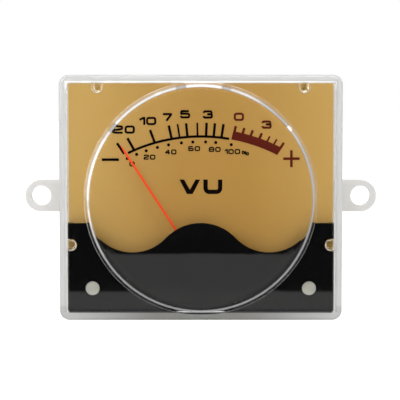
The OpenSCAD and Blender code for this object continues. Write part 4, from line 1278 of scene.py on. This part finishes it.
@dataclass(frozen=True)
class DialPrint:
    """The scale, figures and signs printed on the dial, a hair thick.

    Lengths are in millimetres, and angles in degrees clockwise from straight up, as the pivot
    sees them.
    """

    face: float = 6.4
    ink: float = 0.03
    pivot: Point = (0.0, -16.15)
    centre: Point = (0.0, -24.5)
    scale_r: float = 38.13
    band_r: float = 40.0
    top_r: float = 41.25
    line: float = 0.56
    tick: float = 0.58
    thin_tick: float = 0.42
    scale_ends: Point = (-32.4, 12.4)
    scale_ticks: tuple[float, ...] = (-29.5, -20.2, -12.7, -5.8, 2.3, 5.6, 9.0)
    thin_scale_ticks: tuple[float, ...] = (-9.2, -1.4)
    first_tick: float = -33.9
    first_tick_lift: float = 0.2
    over_ends: Point = (14.2, 33.3)
    over_foot_r: float = 38.08
    over_end_ticks: tuple[float, ...] = (13.9, 33.6)
    over_tick_r: float = 39.9
    over_ticks: tuple[float, ...] = (17.3, 20.7, 24.4)
    thin_over_ticks: tuple[float, ...] = (27.7, 30.6)
    band_facets: int = 48
    percent_centre: Point = (-0.07, -26.02)
    percent_r: float = 38.43
    percent_dots: tuple[float, ...] = (
        -33.9, -29.5, -25.0, -19.8, -14.7, -8.8, -3.6, 2.2, 6.8, 13.9,
    )
    dot_r: float = 0.36
    dot_facets: int = 20
    large: Lettering = Lettering(height=1.88, width=2.34, gap=0.3, stroke=0.49)
    small: Lettering = Lettering(height=1.16, width=1.26, gap=0.18, stroke=0.29)
    level_labels: tuple[Label, ...] = (
        Label("20", -17.42, 15.19), Label("10", -12.1, 17.13), Label("7", -7.53, 18.0),
        Label("5", -3.55, 18.66), Label("3", 1.59, 18.61),
    )
    over_labels: tuple[Label, ...] = (Label("0", 8.62, 18.09), Label("3", 14.9, 16.32))
    percent_labels: tuple[Label, ...] = (
        Label("0", -15.6, 7.4), Label("20", -11.64, 8.95), Label("40", -6.85, 10.12),
        Label("60", -1.5, 10.88), Label("80", 3.16, 10.69), Label("100", 7.1, 10.2),
        Label("%", 10.15, 9.9),
    )
    sign_line: float = 0.6
    minus: Point = (-20.52, 8.37)
    minus_length: float = 3.9
    plus: Point = (20.57, 8.59)
    plus_length: float = 3.74
    upright_x: float = 20.55
    upright_length: float = 3.83
    upright_ink: float = 0.98
    letter: tuple[Point, ...] = (
        (-4.84, 3.85), (-3.8, 3.85), (-2.48, 1.55), (-1.18, 3.85), (-0.14, 3.85), (-1.83, 0.58),
        (-3.15, 0.58),
    )
    curve: tuple[Point, ...] = ((1.08, 3.85), (1.08, 1.06), (4.4, 1.06), (4.4, 3.85))
    curve_width: float = 0.97
    curve_round: float = 0.85
    curve_facets: int = 5

    def _spot(self, angle: float, radius: float, centre: Point | None = None) -> Vector:
        """Finds the point of a circle that the pivot sees at an angle.

        Args:
            angle: the angle from straight up, in degrees clockwise.
            radius: the circle's radius.
            centre: its centre, which is the scale's unless given.

        Returns:
            The point.
        """
        cx, cz = centre or self.centre
        way = Vector((math.sin(math.radians(angle)), math.cos(math.radians(angle))))
        off = Vector((self.pivot[0] - cx, self.pivot[1] - cz))
        along = off.dot(way)
        far = -along + math.sqrt(along * along - off.length_squared + radius * radius)
        return Vector(self.pivot) + way * far

    def _mark(self, shape: Shape, angle: float, low: float, high: float, width: float) -> None:
        """Adds a tick that points at the pivot.

        Args:
            shape: the mesh that takes it.
            angle: where it stands, as the pivot sees it.
            low: the radius of the scale's circle where it starts.
            high: the radius of the scale's circle where it ends.
            width: its width.
        """
        a, b = self._spot(angle, low), self._spot(angle, high)
        middle = (a + b) / 2
        shape.block(
            (middle.x, self.face - self.ink / 2, middle.y), (width, self.ink, (b - a).length), angle
        )

    def _band(self, shape: Shape, start: float, end: float, low: float, high: float) -> None:
        """Adds a curved band.

        Args:
            shape: the mesh that takes it.
            start: the angle where it starts, as the pivot sees it.
            end: the angle where it ends.
            low: the radius of its inner circle, round the scale's centre.
            high: the radius of its outer circle.
        """
        middle = (low + high) / 2
        turn = [
            math.atan2(spot.x - self.centre[0], spot.y - self.centre[1])
            for spot in (self._spot(start, middle), self._spot(end, middle))
        ]
        begin = set(shape.bm.verts)
        y = self.face - self.ink
        foot = shape.pen(0, low, y)
        foot.line(0, high)
        edge = foot.tip.link_edges[0]
        centre = Matrix.Translation((self.centre[0], 0, self.centre[1]))
        place = centre @ Matrix.Rotation(turn[0], 4, "Y")
        fresh = [v for v in shape.bm.verts if v not in begin]
        bmesh.ops.transform(shape.bm, matrix=place, verts=fresh)
        bmesh.ops.spin(
            shape.bm, geom=[edge, *edge.verts], cent=(self.centre[0], y, self.centre[1]),
            axis=(0, 1, 0), angle=turn[1] - turn[0], steps=self.band_facets,
        )
        faces = [f for f in shape.bm.faces if all(v not in begin for v in f.verts)]
        made = bmesh.ops.extrude_face_region(shape.bm, geom=faces)["geom"]
        verts = [g for g in made if isinstance(g, bmesh.types.BMVert)]
        bmesh.ops.translate(shape.bm, verts=verts, vec=(0, self.ink, 0))

    def _scale(self) -> bpy.types.Object:
        """Prints the black scale with its ticks and the percent dots.

        Returns:
            The piece.
        """
        shape = Shape()
        half = self.line / 2
        self._band(shape, *self.scale_ends, self.scale_r - half, self.scale_r + half)
        for angle in self.scale_ticks:
            self._mark(shape, angle, self.scale_r, self.top_r, self.tick)
        for angle in self.thin_scale_ticks:
            self._mark(shape, angle, self.scale_r, self.top_r, self.thin_tick)
        foot_r = self.scale_r + self.first_tick_lift
        self._mark(shape, self.first_tick, foot_r, self.top_r, self.tick)
        for angle in self.percent_dots:
            x, z = self._spot(angle, self.percent_r, self.percent_centre)
            shape.bar(self.dot_r, self.face - self.ink, self.face, x, z, self.dot_facets)
        return shape.piece("scale_print", Body.CASE, BLACK_INK, DIAL_SLOT)

    def _over_scale(self) -> bpy.types.Object:
        """Prints the dark red band above zero with its ticks.

        Returns:
            The piece.
        """
        shape = Shape()
        self._band(shape, *self.over_ends, self.over_foot_r, self.band_r)
        for angles, foot_r, width in (
            (self.over_end_ticks, self.over_foot_r, self.tick),
            (self.over_ticks, self.over_tick_r, self.tick),
            (self.thin_over_ticks, self.over_tick_r, self.thin_tick),
        ):
            for angle in angles:
                self._mark(shape, angle, foot_r, self.top_r, width)
        return shape.piece("over_print", Body.CASE, RED_INK, DIAL_SLOT)

    def _stroked(
        self, shape: Shape, name: str, width: float, finish: Finish
    ) -> bpy.types.Object:
        """Turns wires into a piece of strokes of even width.

        Args:
            shape: the mesh that has the wires.
            name: the piece's name.
            width: the strokes' width.
            finish: the ink.

        Returns:
            The piece.
        """
        shape.pull(list(shape.bm.edges), self.ink)
        piece = shape.piece(name, Body.CASE, finish, DIAL_SLOT, weld=False)
        stroke = piece.modifiers.new("stroke", "SOLIDIFY")
        stroke.thickness, stroke.offset, stroke.use_even_offset = width * MM, 0.0, True
        settle(piece)
        return piece

    def _numbers(
        self, name: str, kind: Lettering, labels: Sequence[Label], finish: Finish
    ) -> bpy.types.Object:
        """Prints labels.

        Args:
            name: the piece's name.
            kind: the size of their figures.
            labels: the labels.
            finish: the ink.

        Returns:
            The piece.
        """
        shape = Shape()
        for label in labels:
            kind.write(shape, label, self.face - self.ink)
        return self._stroked(shape, name, kind.stroke, finish)

    def _signs(self) -> list[bpy.types.Object]:
        """Prints the minus and plus signs.

        Returns:
            The pieces.
        """
        y = self.face - self.ink / 2
        shape = Shape()
        x, z = self.minus
        shape.block((x, y, z), (self.minus_length, self.ink, self.sign_line))
        minus = shape.piece("minus_print", Body.CASE, BLACK_INK, DIAL_SLOT)
        shape = Shape()
        x, z = self.plus
        shape.block((x, y, z), (self.plus_length, self.ink, self.sign_line))
        # The upright's ink is a hair thinner, so that no two faces lie in one plane
        shape.block(
            (self.upright_x, y, z),
            (self.sign_line, self.ink * self.upright_ink, self.upright_length),
        )
        return [minus, shape.piece("plus_print", Body.CASE, RED_INK, DIAL_SLOT)]

    def _unit(self) -> list[bpy.types.Object]:
        """Prints the two letters of the level unit.

        Returns:
            The pieces.
        """
        y = self.face - self.ink
        shape = Shape()
        outline = shape.loop(self.letter, y, 0, 1)
        shape.fill(outline)
        shape.fill(shape.pull(outline, self.ink))
        letter = shape.piece("unit_letter_print", Body.CASE, BLACK_INK, DIAL_SLOT)
        shape = Shape()
        pen = shape.pen(*self.curve[0], y)
        tips = [pen.line(*spot).tip for spot in self.curve[1:]]
        round_corners(shape.bm, tips[:-1], self.curve_round, self.curve_facets)
        curve = self._stroked(shape, "unit_stroke_print", self.curve_width, BLACK_INK)
        return [letter, curve]

    def build(self) -> list[bpy.types.Object]:
        """Prints everything and returns the pieces."""
        return [
            self._scale(),
            self._over_scale(),
            self._numbers("level_numbers", self.large, self.level_labels, BLACK_INK),
            self._numbers("over_numbers", self.large, self.over_labels, RED_INK),
            self._numbers("percent_numbers", self.small, self.percent_labels, BLACK_INK),
            *self._signs(),
            *self._unit(),
        ]


# --- Studio ------------------------------------------------------------------


@dataclass(frozen=True)
class Lamp:
    """A softbox that points at the meter: where it hangs, its size and its power."""

    name: str
    place: tuple[float, float, float]
    size: tuple[float, float]
    power: float
    shine_only: bool = False


@dataclass(frozen=True)
class Studio:
    """Camera, softboxes, surroundings and floor, in metres and degrees.

    The meter mirrors a room that is white behind it. Ahead of it the room is front_dark, but
    front_low under the slope front_slope; front_ends says where ahead begins and is complete.
    """

    distance: float = 0.350
    elevation: float = 3.7
    aim: tuple[float, float, float] = (-0.00018, 0.0, -0.00042)
    view: float = 14.56
    film: float = 36.0
    clip: Point = (0.01, 20.0)
    floor_z: float = -0.0275
    floor_half: float = 3.0
    floor_tone: float = 0.9
    floor_lift: float = 0.5
    ambient: float = 0.75
    front_dark: float = 0.02
    front_low: float = 0.4
    front_slope: float = -0.1238
    slope_blur: float = 0.001
    front_ends: Point = (0.35, 0.75)
    lamps: tuple[Lamp, ...] = (
        Lamp("softbox_left", (-0.55, -0.4, 0.35), (0.3, 0.3), 1.3),
        Lamp("softbox_right", (0.55, -0.4, 0.35), (0.3, 0.3), 1.3),
        Lamp("softbox_top", (0.0, -0.15, 0.7), (0.5, 0.25), 1.3),
        Lamp("shine_upper_left", (-0.34, -0.57, 0.21), (0.42, 0.42), 9.0, True),
        Lamp("shine_top", (0.03, -0.57, 0.40), (0.2, 0.42), 4.0, True),
    )

    def camera(self) -> None:
        """Sets the camera at the photograph's angle."""
        data = bpy.data.cameras.new("camera")
        data.sensor_width = self.film
        data.lens = self.film / 2 / math.tan(math.radians(self.view / 2))
        data.clip_start, data.clip_end = self.clip
        obj = bpy.data.objects.new("camera", data)
        tilt = math.radians(self.elevation)
        away = Vector((0, -math.cos(tilt), math.sin(tilt)))
        obj.location = Vector(self.aim) + away * self.distance
        obj.rotation_euler = (-away).to_track_quat("-Z", "Y").to_euler()
        bpy.context.scene.collection.objects.link(obj)
        bpy.context.scene.camera = obj

    def light(self) -> None:
        """Hangs the softboxes, which the camera doesn't see."""
        for lamp in self.lamps:
            data = bpy.data.lights.new(lamp.name, "AREA")
            data.shape = "RECTANGLE"
            data.size, data.size_y = lamp.size
            data.energy = lamp.power
            obj = bpy.data.objects.new(lamp.name, data)
            obj.location = lamp.place
            obj.rotation_euler = (-Vector(lamp.place)).to_track_quat("-Z", "Y").to_euler()
            obj.visible_camera = False
            obj.visible_diffuse = not lamp.shine_only
            bpy.context.scene.collection.objects.link(obj)

    def surround(self) -> None:
        """Makes the room: white behind the meter, and dark in front of it for its mirror images."""
        world = bpy.data.worlds.new("studio")
        bpy.context.scene.world = world
        world.use_nodes = True
        tree = world.node_tree
        rays = add_node(tree, "ShaderNodeLightPath").outputs
        way = add_node(tree, "ShaderNodeTexCoord").outputs["Generated"]
        parts = add_node(tree, "ShaderNodeSeparateXYZ", {0: way}).outputs
        known = {
            "y": parts["Y"], "z": parts["Z"], "camera": rays["Is Camera Ray"],
            "glossy": rays["Is Glossy Ray"], "through": rays["Is Transmission Ray"],
        }
        low, high = self.front_slope - self.slope_blur, self.front_slope + self.slope_blur
        # Each row names its result, and says how and from which values or results it is made
        for name, operation, *taken in (
            ("forward", "MULTIPLY", "y", -1.0),
            ("ahead", "MAXIMUM", "forward", self.slope_blur),
            ("slope", "DIVIDE", "z", "ahead"),
            ("below", "RAMP", "slope", low, high, self.front_low, self.front_dark),
            ("behind", "RAMP", "forward", *self.front_ends, 1.0, 0.0),
            ("room", "MAXIMUM", "below", "behind"),
            ("bent", "MAXIMUM", "glossy", "through"),
            ("mirrored", "MULTIPLY", "bent", "room"),
            ("seen", "MAXIMUM", "camera", "mirrored"),
            ("unbent", "SUBTRACT", 1.0, "bent"),
            ("other", "SUBTRACT", "unbent", "camera"),
            ("lighting", "MAXIMUM", "other", 0.0),
            ("level", "MULTIPLY_ADD", "lighting", self.ambient, "seen"),
        ):
            ramp = operation == "RAMP"
            known[name] = add_node(
                tree, "ShaderNodeMapRange" if ramp else "ShaderNodeMath",
                {i: known.get(value, value) for i, value in enumerate(taken)},
                **({} if ramp else {"operation": operation}),
            ).outputs[0]
        feed(tree, tree.nodes["Background"], {"Strength": known["level"], "Color": (1, 1, 1, 1)})

    def floor(self) -> None:
        """Lays the pale floor, which keeps the meter's shadow and is clear in mirror images."""
        bm = bmesh.new()
        place = Matrix.Translation((0, 0, self.floor_z))
        bmesh.ops.create_grid(
            bm, x_segments=1, y_segments=1, size=self.floor_half, matrix=place
        )
        mesh = bpy.data.meshes.new("floor")
        bm.to_mesh(mesh)
        bm.free()
        made = bpy.data.materials.new("pale_floor")
        made.use_nodes = True
        tree = made.node_tree
        tree.nodes.remove(tree.nodes["Principled BSDF"])
        rays = add_node(tree, "ShaderNodeLightPath").outputs
        tone = (*(self.floor_tone,) * 3, 1.0)
        matt = add_node(tree, "ShaderNodeBsdfDiffuse", {"Color": tone}).outputs[0]
        lift = add_node(
            tree, "ShaderNodeMath", {0: rays["Is Camera Ray"], 1: self.floor_lift},
            operation="MULTIPLY",
        ).outputs[0]
        glow = add_node(tree, "ShaderNodeEmission", {"Strength": lift}).outputs[0]
        half = add_node(tree, "ShaderNodeAddShader", {0: matt, 1: glow}).outputs[0]
        clear = add_node(tree, "ShaderNodeBsdfTransparent").outputs[0]
        unseen = add_node(
            tree, "ShaderNodeMath", {0: rays["Is Glossy Ray"], 1: rays["Is Transmission Ray"]},
            operation="MAXIMUM",
        ).outputs[0]
        mixed = add_node(tree, "ShaderNodeMixShader", {0: unseen, 1: half, 2: clear}).outputs[0]
        feed(tree, tree.nodes["Material Output"], {"Surface": mixed})
        mesh.materials.append(made)
        obj = bpy.data.objects.new("floor", mesh)
        bpy.context.scene.collection.objects.link(obj)

    def build(self) -> None:
        """Builds the studio."""
        self.camera()
        self.light()
        self.surround()
        self.floor()
        bpy.context.scene.view_settings.view_transform = "Standard"


def main() -> None:
    """Builds the meter's looks and the studio round it, and reports each piece."""
    logging.basicConfig(level=logging.INFO, format="%(name)s %(message)s")
    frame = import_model()
    Studio().build()
    dress_nodes(frame["nodes"])
    pieces = [*frame["nodes"].values(), ClearCover().build(), *DialPrint().build()]
    for piece in pieces:
        finish = piece.material_slots[0].name
        LOG.info("%s: %d faces of %s", piece.name, len(piece.data.polygons), finish)
    bpy.context.view_layer.update()


if __name__ == "__main__":
    main()
